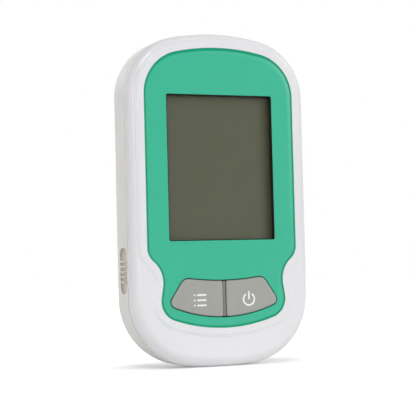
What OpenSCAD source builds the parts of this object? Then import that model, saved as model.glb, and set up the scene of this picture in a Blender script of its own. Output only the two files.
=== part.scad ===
// Blood glucose meter, standing on its lower end with the display facing -Y.
// Heights are Z from the lowest point. Depths are measured back from the front plane of the case.

/* [Case] */
// Width of the case across its sides
case_w = 56.4; // [55:0.2:62]
// Height of the case from end to end
case_h = 98; // [96:0.5:106]
// Thickness of the case, from the front plane to the back
case_t = 17; // [17:0.25:20]
// Thickness of the side walls and of the back
case_wall = 1.8; // [1.6:0.1:2]
// Radius of the upper corners, seen from the front
top_corner_r = 17.5; // [16:0.5:19]
// How far the arched top rises over the upper corner arcs
top_crown = 1.17; // [0.8:0.01:2]
// Radius of the lower corners, seen from the front
low_corner_r = 19.9; // [18:0.1:21]
// How far the arched lower end drops below the lower corner arcs
low_crown = 0.41; // [0.3:0.01:1.5]
// Rounding of the front edge
front_edge_r = 3.4; // [2.6:0.1:3.8]
// Rounding of the back edge
back_edge_r = 4.5; // [3:0.1:5]
// Depth of the seam between the two halves
seam_depth = 5; // [4.8:0.1:5.2]
// Width of the groove at the seam
seam_gap = 0.2; // [0.1:0.05:0.3]
// How far the inner lip of the front half reaches past the seam
lip_reach = 1.5; // [1:0.1:1.8]

/* [Front panel] */
// Distance from the side and top of the case to the panel
panel_margin = 4.64; // [4.4:0.02:5.4]
// Height of the panel's lower edge over the lowest point
panel_low = 11.45; // [11:0.05:12.5]
// Thickness of the panel
panel_t = 1.4; // [1.3:0.1:1.6]
// Gap round the panel in its recess
panel_gap = 0.1; // [0.05:0.05:0.2]
// Thickness of the case under the panel
panel_floor_t = 1.2; // [1.1:0.1:1.4]
// Width of the raised collar round the panel
collar_w = 2.3; // [1.8:0.1:2.6]
// Height of the raised collar
collar_h = 0.3; // [0.2:0.05:0.4]
// Half width of the panel at its waist
waist_half_w = 18.9; // [18.6:0.1:19.5]
// Radius of the waist curves
waist_r = 8; // [7:0.5:9]
// Height of the waist over the panel's lower edge
waist_up = 13.55; // [13:0.05:14]
// Radius of the shoulders over the waist
shoulder_r = 4.9; // [4:0.1:5.5]
// Height of the shoulder curves over the panel's lower edge
shoulder_up = 23.35; // [23:0.05:25]
// Half width of the panel round the keys
lobe_half_w = 19.6; // [19.4:0.1:20.5]
// Radius of the panel's lower corners
lobe_r = 5.75; // [5:0.05:6.5]
// Height of the lower corner curves over the panel's lower edge
lobe_up = 8.05; // [7.8:0.05:8.5]

/* [Display] */
// Width of the display window
window_w = 33.6; // [30:0.2:34]
// Distance from the top edge of the keys up to the window
window_up = 11.8; // [11:0.1:14]
// Distance from the top of the panel to the window
window_drop = 13.8; // [13.6:0.1:16]
// Radius of the window's corners
window_r = 0.5; // [0.3:0.1:1.2]
// Thickness of the panel's edge in front of the black frame
window_lip_t = 0.5; // [0.4:0.1:0.7]
// Width of the black frame behind the panel's edge
frame_w = 1.1; // [0.8:0.1:1.4]
// Thickness of the clear window
lens_t = 0.9; // [0.7:0.1:1]
// How far the clear window reaches past the opening on each side
lens_border = 1.5; // [1.2:0.1:1.8]
// How far the display glass reaches past the opening at the sides and the top
glass_border = 2.2; // [2:0.1:2.5]
// How far the display glass reaches past the opening at its lower, contact edge
glass_ledge = 4.6; // [4:0.1:5]
// Thickness of each of the two display glasses
glass_t = 0.9; // [0.7:0.1:1]
// Thickness of the holder behind the edge of the display
holder_lip_t = 1.1; // [0.9:0.1:1.3]
// Wall of the display holder
holder_wall = 1.2; // [1:0.1:1.4]

/* [Keys] */
// Height of the keys' lowest point over the panel's lower edge
keys_low = 3.15; // [3:0.05:3.6]
// Height of the keys' hollow top edge over their lowest point
keys_dip = 10.46; // [10:0.02:10.6]
// Half width over the centres of the keys' outer corner curves
keys_outer_x = 15; // [14.6:0.1:15.2]
// Radius of the outer corner curves
keys_outer_r = 1.75; // [1.5:0.05:2]
// Height of the outer corner curves over the keys' lowest point
keys_outer_up = 4.6; // [4.4:0.1:5]
// Half width over the centres of the keys' upper corner curves
keys_upper_x = 11.2; // [10.8:0.1:11.6]
// Radius of the upper corner curves
keys_upper_r = 2.8; // [2.4:0.1:3]
// Height of the upper corner curves over the keys' lowest point
keys_upper_up = 8.6; // [8.4:0.1:8.8]
// How far the keys stand out of the panel
key_proud = 0.4; // [0.2:0.05:0.6]
// Travel of each key
key_travel = 0.5; // [0.3:0.05:0.5]
// Gap between a key and the panel
key_gap = 0.25; // [0.2:0.05:0.35]
// Gap between the two keys
key_split = 1.5; // [1.3:0.1:1.8]
// Width of the web between the keys
web_w = 0.9; // [0.6:0.1:0.9]
// Width and thickness of the flange that keeps a key in
key_flange = 0.7; // [0.6:0.05:0.8]
// Radius of a key's stem
key_stem_r = 1.5; // [1.2:0.1:1.8]
// Distance of each key's stem from the middle
key_stem_x = 8.4; // [7:0.1:9]
// Running clearance of stems, plungers, rod and pins in their bores
run_gap = 0.05; // [0.03:0.01:0.08]

/* [Strip ejector] */
// Height of the slider window's centre
slot_z = 28.6; // [28:0.1:32]
// Depth of the slider window's centre
slot_depth = 8.7; // [8.7:0.1:9]
// Length of the slider window
slot_l = 13.5; // [12.5:0.1:14]
// Width of the slider window
slot_w = 6.2; // [5.8:0.1:6.2]
// Corner radius of the slider window
slot_r = 2.6; // [2:0.1:2.8]
// Travel of the slider
slider_travel = 2; // [1.5:0.1:2.2]
// Number of ribs under the thumb
rib_count = 5; // [3:1:5]
// Distance between ribs
rib_pitch = 1.5; // [1.3:0.05:1.5]
// Width of one rib
rib_w = 0.7; // [0.5:0.05:0.8]
// Length of one rib
rib_l = 4.4; // [3.8:0.1:4.4]
// How far the ribs stand out of the side of the case
rib_proud = 0.15; // [0:0.05:0.3]
// Radius of the steel rod that the slider runs on
rod_r = 0.8; // [0.6:0.05:0.9]
// Wire thickness of the return spring
spring_wire = 0.4; // [0.3:0.05:0.5]
// Number of turns of the return spring
spring_turns = 7; // [5:1:8]
// Width of the test strip
strip_w = 7.4; // [6:0.1:8]

/* [Battery] */
// Radius of a coin cell
cell_r = 10; // [8:0.1:10]
// Thickness of a coin cell
cell_t = 3.2; // [2.5:0.1:3.2]
// Thickness of the battery door
door_t = 1.5; // [1.4:0.05:1.6]
// Gap round the battery door
door_gap = 0.2; // [0.15:0.05:0.25]
// Radius of the hinge pins
pin_r = 0.6; // [0.5:0.05:0.7]

/* [Board and screws] */
// Thickness of the circuit board
board_t = 1.2; // [1:0.1:1.6]
// Radius of the screw bosses
boss_r = 2.3; // [2.2:0.1:2.4]
// Radius of the case screws
screw_r = 0.85; // [0.8:0.05:1]
// Radius of the case screws' heads
screw_head_r = 1.8; // [1.6:0.05:1.85]

/* [Hidden] */

// Degrees of arc between two points of an outline, and steps round a rounded edge
arc_step = 6;
edge_steps = 5;
// Overlap of joined shapes, and how far a cut runs past what it cuts
skin = 0.01;
cut = 1;
// Gaps of pieces that fit one another, that touch, and that only pass
fit_gap = 0.1;
seat_gap = 0.02;
slack = 0.3;

// The body is centred in depth with its keys at rest.
function y_at(depth) = depth - (case_t - key_proud) / 2;

// Outlines are chains of [x, z, radius] circles, clockwise, joined by their common tangents.
// A negative radius is a hollow curve.
function link_angle(p, q) =
    let (dx = q[0] - p[0], dz = q[1] - p[1], step = p[2] - q[2])
    atan2(dz, dx) + atan2(sqrt(max(0, dx * dx + dz * dz - step * step)), step);
function turn(from, to, r) =
    let (sweep = (r > 0 ? from - to : to - from) + 720, angle = sweep - 360 * floor(sweep / 360))
    angle > 350 ? 0 : (r > 0 ? -angle : angle);
function arc_points(circle, from, sweep, grow) =
    let (n = max(1, 2 * ceil(abs(sweep) / arc_step / 2 + min(1, abs(sweep)))))
    [for (i = [0:n]) let (a = from + sweep * i / n)
        [circle[0] + (circle[2] + grow) * cos(a), circle[1] + (circle[2] + grow) * sin(a)]];
function chain_points(circles, grow) =
    let (n = len(circles))
    [for (i = [0:n - 1])
        let (from = link_angle(circles[(i + n - 1) % n], circles[i]),
             to = link_angle(circles[i], circles[(i + 1) % n]))
        each arc_points(circles[i], from, turn(from, to, circles[i][2]), grow)];
function distinct(points) =
    let (n = len(points))
    [for (i = [0:n - 1]) if (norm(points[i] - points[(i + 1) % n]) > skin) points[i]];
function outline(circles, grow = 0) = distinct(chain_points(circles, grow));
function mirrored(circles) =
    [for (i = [len(circles) - 1:-1:0]) [-circles[i][0], circles[i][1], circles[i][2]]];
// Radius of the arc on the centre line whose top lies rise over the corner curve's centre
// and which is tangent to that curve.
function crown_radius(x, rise, r) = (x * x + rise * rise - r * r) / (2 * (rise - r));

// Case outline
top_x = case_w / 2 - top_corner_r;
top_z = case_h - top_crown - top_corner_r;
top_arc_r = crown_radius(top_x, top_corner_r + top_crown, top_corner_r);
low_x = case_w / 2 - low_corner_r;
low_z = low_corner_r + low_crown;
low_arc_r = crown_radius(low_x, low_z, low_corner_r);
case_side = [[top_x, top_z, top_corner_r], [low_x, low_z, low_corner_r]];
case_circles = concat([[0, case_h - top_arc_r, top_arc_r]], case_side,
    [[0, low_arc_r, low_arc_r]], mirrored(case_side));

// Panel outline
panel_half_w = case_w / 2 - panel_margin;
panel_top = case_h - panel_margin;
lobe_x = lobe_half_w - lobe_r;
lobe_z = panel_low + lobe_up;
panel_low_r = crown_radius(lobe_x, lobe_up, lobe_r);
panel_side = [
    [top_x, top_z, top_corner_r - panel_margin],
    [panel_half_w - shoulder_r, panel_low + shoulder_up, shoulder_r],
    [waist_half_w + waist_r, panel_low + waist_up, -waist_r],
    [lobe_x, lobe_z, lobe_r]];
panel_circles = concat([[0, case_h - top_arc_r, top_arc_r - panel_margin]], panel_side,
    [[0, panel_low + panel_low_r, panel_low_r]], mirrored(panel_side));

// Keys outline
keys_z = panel_low + keys_low;
keys_top = keys_z + keys_dip;
keys_low_r = crown_radius(keys_outer_x, keys_outer_up, keys_outer_r);
keys_dip_r = crown_radius(keys_upper_x, keys_dip - keys_upper_up, keys_upper_r);
keys_side = [
    [keys_upper_x, keys_z + keys_upper_up, keys_upper_r],
    [keys_outer_x, keys_z + keys_outer_up, keys_outer_r]];
keys_circles = concat([[0, keys_top - keys_dip_r, keys_dip_r]], keys_side,
    [[0, keys_z + keys_low_r, keys_low_r]], mirrored(keys_side));
key_stem_z = keys_z + keys_dip / 2;

// Depths, front to back
floor_depth = panel_t + panel_floor_t;
glass_depth = floor_depth + fit_gap;
glass_back = glass_depth + 2 * glass_t;
board_depth = glass_back + holder_lip_t;
board_back = board_depth + board_t;
back_depth = case_t - case_wall;
flange_depth = panel_t + fit_gap;
flange_back = flange_depth + key_flange;
divider_depth = max(flange_back + key_travel + fit_gap, floor_depth + slack);
divider_t = 0.8;
divider_rim = 1.2;
switch_h = 1.5;
switch_w = 5;
switch_depth = board_depth - switch_h;
plunger_r = 1;
plunger_gap = 0.2;
plunger_depth = switch_depth - key_travel - fit_gap;

// Display
window_top = panel_top - window_drop;
window_low = keys_top + window_up;
window_h = window_top - window_low;
window_z = (window_top + window_low) / 2;
glass_w = window_w + 2 * glass_border;
glass_top = window_top + glass_border;
glass_low = window_low - glass_ledge;
glass_step = 3;
holder_gap = 0.15;
holder_lip = 1.4;
holder_bar_gap = 0.4;
zebra_w = 1.8;
zebra_inset = 2;

// Screws
boss_side_gap = 0.2;
boss_reach = case_wall + boss_r + boss_side_gap;
top_boss_angle = 45;
low_boss_angle = 48;
top_boss = [top_x, top_z] + (top_corner_r - boss_reach) * [cos(top_boss_angle), sin(top_boss_angle)];
low_boss = [low_x, low_z] + (low_corner_r - boss_reach) * [cos(low_boss_angle), -sin(low_boss_angle)];
boss_spots = [for (spot = [top_boss, low_boss], side = [-1, 1]) [side * spot[0], spot[1]]];
boss_over_board = 2;
boss_depth = board_back + boss_over_board;
screw_seat_t = 3.4;
screw_seat_depth = boss_depth + screw_seat_t;
screw_head_t = 1.3;
screw_head_gap = 0.2;
screw_tip_gap = 1.4;
screw_tip_depth = floor_depth + screw_tip_gap;
screw_hole_r = screw_r + slack;
cross_l = 2.2;
cross_w = 0.5;
cross_depth = 0.6;
board_gap = 0.5;
board_inset = case_wall + board_gap;
post_r = 1.7;
post_up = 4;
post_down = 14;
post_x = (glass_w / 2 + holder_gap + holder_wall + case_w / 2 - case_wall) / 2;
post_spots = [for (z = [window_z + post_up, window_z - post_down], side = [-1, 1]) [side * post_x, z]];
board_screw_r = 0.6;
board_screw_head_r = 1.3;
board_screw_head_t = 0.9;
board_screw_hole_depth = floor_depth + 0.4;

// Parts on the board
chip_w = 10;
chip_t = 1.4;
chip_x = 9;
chip_z = glass_low + chip_w / 2;
small_chip_t = 1.2;
crystal_r = 1;
crystal_l = 6;
passive_l = 1.6;
passive_w = 0.8;
passive_t = 0.5;
passive_pitch = 2.6;
passive_shift = 1;
passive_count = 6;
buzzer_r = 6;
buzzer_t = 2.6;
buzzer_floor_t = 1.4;

// Battery bay
bay_z = window_z;
cell_side_gap = 0.5;
cell_x = cell_r + cell_side_gap;
cell_step = 1.2;
cell_rim_t = 0.3;
clip_t = 0.3;
bay_side_gap = 1.7;
bay_half_w = cell_x + cell_r + bay_side_gap;
bay_wall = 1.2;
door_back = case_t;
door_depth = case_t - door_t;
cell_back = door_depth - slack;
cell_front = cell_back - cell_t;
contact_t = 0.3;
contact_gap = 0.05;
leaf_w = 12;
leaf_h = 5;
leg_w = 1.4;
clip_h = 6;
clip_end_gap = 0.4;
clip_x = cell_x + cell_r + contact_gap;
bay_floor_depth = cell_front - contact_t - contact_gap;
bay_floor_t = 1;
bay_top = bay_z + cell_r + slack;
hinge_r = door_t;
hinge_depth = door_back - hinge_r;
door_low = bay_z - cell_r - slack - 2 * hinge_r;
hinge_z = door_low + hinge_r;
door_top = bay_top + bay_wall - door_gap;
bay_low = door_low - door_gap;
door_half_w = bay_half_w - door_gap;
rest_w = 1;
pin_in = 2;
pin_out = 0.9;
finger_r = 6;
finger_dent = 0.5;
finger_w = 12;
finger_drop = 5;

// Strip port and connector
port_depth = slot_depth;
port_side_gap = 0.4;
port_w = strip_w + 2 * port_side_gap;
port_h = 1.8;
connector_side_t = 2.8;
connector_w = strip_w + 2 * connector_side_t;
strip_side_gap = 0.2;
connector_slot_w = strip_w + 2 * strip_side_gap;
connector_slot_h = 1.2;
connector_gap = 0.8;
connector_low = case_wall + connector_gap;
connector_h = 13;
connector_half_t = 1.9;
connector_back = port_depth + connector_half_t;
contact_count = 5;
contact_pitch = 1.3;
contact_w = 0.7;
contact_rise = 0.2;
contact_end_gap = 3;

// Strip ejector
wall_skin = 0.7;
plate_x = -(case_w / 2 - wall_skin);
plate_t = 1.3;
plate_side_lap = 0.35;
plate_end_lap = 0.5;
plate_w = slot_w + 2 * plate_side_lap;
plate_h = slot_l + 2 * (slider_travel + plate_end_lap);
plate_pocket_gap = 0.15;
plate_board_gap = 0.8;
carriage_h = 8;
carriage_w = 3.6;
rod_inset = 5.2;
rod_x = -(case_w / 2 - rod_inset);
carriage_reach = 2.6;
carriage_end_x = rod_x + carriage_reach;
rib_shift = 0.2;
lug_w = 3.2;
lug_h = 2;
lug_bottom_gap = 0.1;
top_lug_low = slot_z + carriage_h / 2 + lug_bottom_gap;
spring_l = 8;
low_lug_top = slot_z - carriage_h / 2 - spring_l;
spring_gap = 0.15;
spring_r = rod_r + run_gap + spring_gap + spring_wire / 2;
spring_sides = 6;
spring_rings_per_turn = 8;
arm_t = 1.2;
arm_h = 3;
prong_w = 4;
prong_t = 0.7;
prong_gap = 1;
prong_low = connector_low + connector_h + prong_gap;

// An outline between two depths.
module slab(front, back) {
    translate([0, y_at(back), 0]) rotate([90, 0, 0]) linear_extrude(back - front) children();
}
module case_shape(grow = 0) { polygon(outline(case_circles, grow)); }
module panel_shape(grow = 0) { polygon(outline(panel_circles, grow)); }
module keys_shape(grow = 0) { polygon(outline(keys_circles, grow)); }
module window_shape(grow = 0, r = window_r) {
    w = window_w / 2 + grow - r;
    h = window_h / 2 + grow - r;
    translate([0, window_z]) rounded_rectangle(w, h, r);
}
// Half width w and half height h over the centres of the corner arcs.
module rounded_rectangle(w, h, r) {
    polygon(outline([[w, h, r], [w, -h, r], [-w, -h, r], [-w, h, r]]));
}
module block(x0, x1, front, back, z0, z1) {
    translate([x0, y_at(front), z0]) cube([x1 - x0, back - front, z1 - z0]);
}
module peg(spot, r, front, back) {
    slab(front, back) translate(spot) circle(r, $fn = 32);
}

// A block of the case's outline with the edge of its flat face rounded, as one loft through rings
// of [depth, inset], front to back.
function edge_rings(flat_depth, seam, r) =
    let (inward = sign(seam - flat_depth),
         rings = [for (i = [edge_steps:-1:0]) let (a = 90 * i / edge_steps)
             [flat_depth + inward * r * (1 - sin(a)), r * (1 - cos(a))]],
         all = concat(rings, [[seam, 0]]))
    inward > 0 ? all : [for (i = [len(all) - 1:-1:0]) all[i]];
module rounded_case(flat_depth, seam, r) {
    rings = edge_rings(flat_depth, seam, r);
    n = len(outline(case_circles));
    last = (len(rings) - 1) * n;
    points = [for (ring = rings, p = outline(case_circles, -ring[1])) [p[0], y_at(ring[0]), p[1]]];
    sides = [for (j = [0:len(rings) - 2], i = [0:n - 1])
        let (here = j * n + i, beside = j * n + (i + 1) % n)
        each [[here, here + n, beside + n], [here, beside + n, beside]]];
    polyhedron(points = points, faces = concat(sides, [[for (i = [0:n - 1]) i]],
        [[for (i = [n - 1:-1:0]) last + i]]));
}

module front_shell() {
    color("whitesmoke") union() {
        difference() {
            union() {
                rounded_case(collar_h, seam_depth, front_edge_r);
                slab(0, panel_t) panel_shape(collar_w);
                slab(floor_depth, seam_depth + lip_reach) case_shape(-case_wall / 2 - fit_gap / 2);
            }
            slab(-cut, panel_t) panel_shape(panel_gap);
            slab(floor_depth, case_t) case_shape(-case_wall);
            slab(0, case_t) window_shape(lens_border + fit_gap, window_r);
            slab(0, case_t) keys_shape(key_flange + key_gap + fit_gap);
            block(-case_w / 2, 0, seam_depth, case_t,
                slot_z - plate_h / 2 - slider_travel - fit_gap, slot_z + plate_h / 2 + fit_gap);
            block(-port_w / 2 - fit_gap, port_w / 2 + fit_gap, seam_depth, case_t, -cut, connector_low);
        }
        for (spot = boss_spots) front_boss(spot);
        for (spot = post_spots) board_post(spot);
    }
}
module front_boss(spot) {
    difference() {
        peg(spot, boss_r, floor_depth - skin, boss_depth);
        peg(spot, screw_r, screw_tip_depth - slack, boss_depth + cut);
    }
}
module board_post(spot) {
    difference() {
        peg(spot, post_r, floor_depth - skin, board_depth);
        peg(spot, board_screw_r, board_screw_hole_depth, board_depth + cut);
    }
}

module rear_shell() {
    color("linen") difference() {
        union() {
            difference() {
                rounded_case(case_t, seam_depth + seam_gap, back_edge_r);
                slab(0, back_depth) case_shape(-case_wall);
                slab(0, seam_depth + lip_reach + fit_gap) case_shape(-case_wall / 2);
            }
            for (spot = boss_spots) peg(spot, boss_r, boss_depth, back_depth + skin);
            block(-bay_half_w - bay_wall, bay_half_w + bay_wall, bay_floor_depth - bay_floor_t,
                back_depth + skin, bay_low - bay_wall, bay_top + bay_wall);
            ejector_lug(low_lug_top - lug_h);
            ejector_lug(top_lug_low);
        }
        for (spot = boss_spots) {
            peg(spot, screw_hole_r, 0, screw_seat_depth + cut);
            peg(spot, screw_head_r + screw_head_gap, screw_seat_depth, case_t + cut);
        }
        difference() {
            block(-bay_half_w, bay_half_w, bay_floor_depth, case_t + cut, bay_low, bay_top);
            for (side = [-1, 1]) door_rest(side);
        }
        block(-door_half_w - door_gap, door_half_w + door_gap, door_depth, case_t + cut,
            bay_z, door_top + door_gap);
        contact_slots();
        slider_window();
        block(plate_x - fit_gap, -(case_w / 2 - case_wall) + cut,
            0, slot_depth + plate_w / 2 + plate_pocket_gap,
            slot_z - plate_h / 2 - slider_travel, slot_z + plate_h / 2 + plate_pocket_gap);
        block(-port_w / 2, port_w / 2, port_depth - port_h / 2, port_depth + port_h / 2,
            -cut, connector_low);
        rod_shape(rod_r + seat_gap, fit_gap);
        for (side = [-1, 1]) hinge_pin(side, pin_r + run_gap, slack);
    }
}
module door_rest(side) {
    inner = bay_half_w - rest_w;
    block(min(side * inner, side * bay_half_w), max(side * inner, side * bay_half_w),
        bay_floor_depth - cut, door_depth, bay_z - cell_r / 2, bay_z + cell_r / 2);
}
module slider_window() {
    translate([-case_w / 2 - cut, y_at(slot_depth), slot_z]) rotate([90, 0, 90])
        linear_extrude(case_wall + 2 * cut)
            rounded_rectangle(slot_w / 2 - slot_r, slot_l / 2 - slot_r, slot_r);
}
module ejector_lug(low) {
    block(rod_x - lug_w / 2, rod_x + lug_w / 2, slot_depth - lug_w / 2, back_depth + skin,
        low, low + lug_h);
}
module rod_shape(r, extra) {
    translate([rod_x, y_at(slot_depth), low_lug_top - lug_h - extra])
        cylinder(h = top_lug_low + 2 * lug_h - low_lug_top + 2 * extra, r = r, $fn = 32);
}
module hinge_pin(side, r, extra) {
    translate([side * (door_half_w + (pin_out - pin_in) / 2), y_at(hinge_depth), hinge_z])
        rotate([0, 90, 0])
            cylinder(h = pin_in + pin_out + 2 * extra, r = r, center = true, $fn = 32);
}

module faceplate() {
    color("mediumaquamarine") difference() {
        slab(0, panel_t) panel_shape();
        slab(-cut, panel_t + cut) window_shape();
        slab(window_lip_t, panel_t + cut) window_shape(frame_w + seat_gap, window_r);
        slab(-cut, panel_t + cut) keys_shape(key_gap);
    }
}

module lcd_gasket() {
    color("#1b1614") difference() {
        slab(window_lip_t, panel_t) window_shape(frame_w, window_r);
        slab(0, case_t) window_shape();
    }
}

module display_lens() {
    color("lightcyan", 0.3) slab(panel_t, panel_t + lens_t) window_shape(lens_border, window_r);
}

module lcd_panel() {
    color("#5f6052") {
        block(-glass_w / 2, glass_w / 2, glass_depth, glass_depth + glass_t, glass_low, glass_top);
        block(-glass_w / 2, glass_w / 2, glass_depth + glass_t, glass_back,
            glass_low + glass_step, glass_top);
    }
}

module lcd_holder() {
    inner = glass_w / 2 + holder_gap;
    outer = inner + holder_wall;
    color("ivory") difference() {
        block(-outer, outer, floor_depth, board_depth,
            glass_low - holder_gap - holder_wall, glass_top + holder_gap + holder_wall);
        block(-inner, inner, 0, glass_back, glass_low - holder_gap, glass_top + holder_gap);
        block(-glass_w / 2 + holder_lip, glass_w / 2 - holder_lip, 0, case_t,
            glass_low + glass_step + holder_lip, glass_top - holder_lip);
        block(-glass_w / 2 + holder_lip, glass_w / 2 - holder_lip, 0, case_t,
            glass_low + holder_bar_gap, glass_low + glass_step - holder_bar_gap);
    }
}

module zebra_connector() {
    color("dimgray") block(-glass_w / 2 + zebra_inset, glass_w / 2 - zebra_inset,
        glass_depth + glass_t, board_depth,
        glass_low + (glass_step - zebra_w) / 2, glass_low + (glass_step + zebra_w) / 2);
}

module circuit_board() {
    color("seagreen") difference() {
        slab(board_depth, board_back) case_shape(-board_inset);
        for (spot = boss_spots) peg(spot, boss_r + slack, 0, case_t);
        for (spot = post_spots) peg(spot, board_screw_r + fit_gap, 0, case_t);
        block(-case_w / 2, plate_x + plate_t + plate_board_gap, 0, case_t,
            slot_z - plate_h / 2 - slider_travel - board_gap, slot_z + plate_h / 2 + board_gap);
    }
}

module on_board(x, z, w, h, t) {
    block(x - w / 2, x + w / 2, board_back, board_back + t, z - h / 2, z + h / 2);
}
module processor_chip() {
    color("#222426") on_board(chip_x, chip_z, chip_w, chip_w, chip_t);
}
module analogue_chip() {
    color("#26282a") on_board(-chip_x / 2, chip_z - chip_w / 4, chip_w / 2, chip_w / 2.5, small_chip_t);
}
module clock_crystal() {
    x = chip_x + chip_w / 2 + 2 * crystal_r;
    color("silver") translate([x, y_at(board_back + crystal_r), chip_z - chip_w / 2])
        cylinder(h = crystal_l, r = crystal_r, $fn = 32);
}
// Rows of resistors and capacitors
module small_parts() {
    color("tan") for (i = [0:passive_count - 1], row = [0, 1])
        on_board(-2 * chip_x + passive_pitch * i + passive_shift * row,
            chip_z + chip_w / 4 + passive_pitch * row, passive_l, passive_w, passive_t);
}
module buzzer() {
    spot = [chip_x, bay_top + bay_wall + 1.5 * buzzer_r];
    color("goldenrod") difference() {
        peg(spot, buzzer_r, board_back, board_back + buzzer_t);
        peg(spot, buzzer_r / 6, board_back + buzzer_floor_t, case_t);
    }
}

// The half of a shape that one key covers; side is -1 on the left.
module key_half(side, split) {
    intersection() {
        children();
        translate([side > 0 ? split / 2 : -case_w, 0]) square([case_w - split / 2, case_h]);
    }
}
module key(side) {
    slab(-key_proud, flange_depth) key_half(side, key_split) keys_shape();
    slab(flange_depth, flange_back) key_half(side, key_split) keys_shape(key_flange);
    peg([side * key_stem_x, key_stem_z], key_stem_r, flange_back - skin, plunger_depth);
}
module button_left() { color("darkgray") key(-1); }
module button_right() { color("darkgray") key(1); }

module key_divider() {
    web_depth = key_proud;
    rim = key_flange + key_gap + fit_gap;
    color("gray") difference() {
        union() {
            slab(divider_depth, divider_depth + divider_t) keys_shape(rim + divider_rim);
            slab(floor_depth, divider_depth + skin) difference() {
                keys_shape(rim + divider_rim);
                keys_shape(rim);
            }
            slab(web_depth, divider_depth + skin) intersection() {
                keys_shape(-key_gap);
                translate([-web_w / 2, 0]) square([web_w, case_h]);
            }
        }
        for (side = [-1, 1]) peg([side * key_stem_x, key_stem_z], key_stem_r + run_gap, floor_depth, case_t);
    }
}

module switch_body(side) {
    spot = [side * key_stem_x, key_stem_z];
    color("#3a3c40") difference() {
        block(spot[0] - switch_w / 2, spot[0] + switch_w / 2, switch_depth, board_depth,
            spot[1] - switch_w / 2, spot[1] + switch_w / 2);
        peg(spot, plunger_r + run_gap, 0, board_depth - fit_gap);
    }
}
module switch_left() { switch_body(-1); }
module switch_right() { switch_body(1); }
module plunger(side) {
    color("black") peg([side * key_stem_x, key_stem_z], plunger_r, plunger_depth,
        board_depth - key_travel - plunger_gap);
}
module plunger_left() { plunger(-1); }
module plunger_right() { plunger(1); }

module strip_connector() {
    color("white") difference() {
        block(-connector_w / 2, connector_w / 2, board_back, connector_back,
            connector_low, connector_low + connector_h);
        block(-connector_slot_w / 2, connector_slot_w / 2, port_depth - connector_slot_h / 2,
            port_depth + connector_slot_h / 2, 0, connector_low + connector_h + cut);
    }
}
module strip_contacts() {
    color("gold") for (i = [0:contact_count - 1]) {
        x = (i - (contact_count - 1) / 2) * contact_pitch;
        block(x - contact_w / 2, x + contact_w / 2, port_depth + connector_slot_h / 2 - contact_rise,
            port_depth + connector_slot_h / 2, connector_low + contact_end_gap,
            connector_low + connector_h - contact_end_gap);
    }
}

module ejector_slider() {
    color("tan") difference() {
        union() {
            block(plate_x, plate_x + plate_t, slot_depth - plate_w / 2, slot_depth + plate_w / 2,
                slot_z - plate_h / 2, slot_z + plate_h / 2);
            for (i = [0:rib_count - 1]) thumb_rib(slot_z + (i - (rib_count - 1) / 2) * rib_pitch);
            block(plate_x + plate_t - skin, carriage_end_x, slot_depth - carriage_w / 2,
                slot_depth + carriage_w / 2, slot_z - carriage_h / 2, slot_z + carriage_h / 2);
            block(carriage_end_x - skin, prong_w / 2, slot_depth - arm_t / 2, slot_depth + arm_t / 2,
                slot_z - carriage_h / 2, slot_z - carriage_h / 2 + arm_h);
            block(-prong_w / 2, prong_w / 2, slot_depth - prong_t / 2, slot_depth + prong_t / 2,
                prong_low, slot_z - carriage_h / 2 + skin);
        }
        rod_shape(rod_r + run_gap, cut);
    }
}
module thumb_rib(z) {
    round_x = -case_w / 2 - rib_proud + rib_w / 2;
    front = slot_depth + rib_shift - rib_l / 2;
    block(round_x, plate_x + skin, front, front + rib_l, z - rib_w / 2, z + rib_w / 2);
    translate([round_x, y_at(front), z]) rotate([-90, 0, 0]) cylinder(h = rib_l, r = rib_w / 2, $fn = 24);
}
module ejector_rod() { color("silver") rod_shape(rod_r, 0); }

// Return spring, swept as one tube along its helix
module ejector_spring() {
    rings = spring_turns * spring_rings_per_turn;
    low = low_lug_top + spring_wire / 2 + seat_gap;
    rise = spring_l - spring_wire - 2 * seat_gap;
    points = [for (i = [0:rings], k = [0:spring_sides - 1])
        let (a = 360 * i / spring_rings_per_turn, b = 360 * k / spring_sides,
             r = spring_r + spring_wire / 2 * cos(b))
        [r * cos(a), r * sin(a), low + rise * i / rings + spring_wire / 2 * sin(b)]];
    sides = [for (i = [0:rings - 1], k = [0:spring_sides - 1])
        let (next = (k + 1) % spring_sides, here = i * spring_sides, there = (i + 1) * spring_sides)
        each [[here + k, there + k, there + next], [here + k, there + next, here + next]]];
    ends = [for (k = [1:spring_sides - 2]) each [[0, k, k + 1],
        [rings * spring_sides, rings * spring_sides + k + 1, rings * spring_sides + k]]];
    color("silver") translate([rod_x, y_at(slot_depth), 0])
        polyhedron(points = points, faces = concat(sides, ends));
}

module coin_cells() {
    color("lightgray") for (side = [-1, 1]) {
        peg([side * cell_x, bay_z], cell_r, cell_front + cell_rim_t, cell_back);
        peg([side * cell_x, bay_z], cell_r - cell_step, cell_front, cell_front + cell_rim_t + skin);
    }
}
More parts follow.
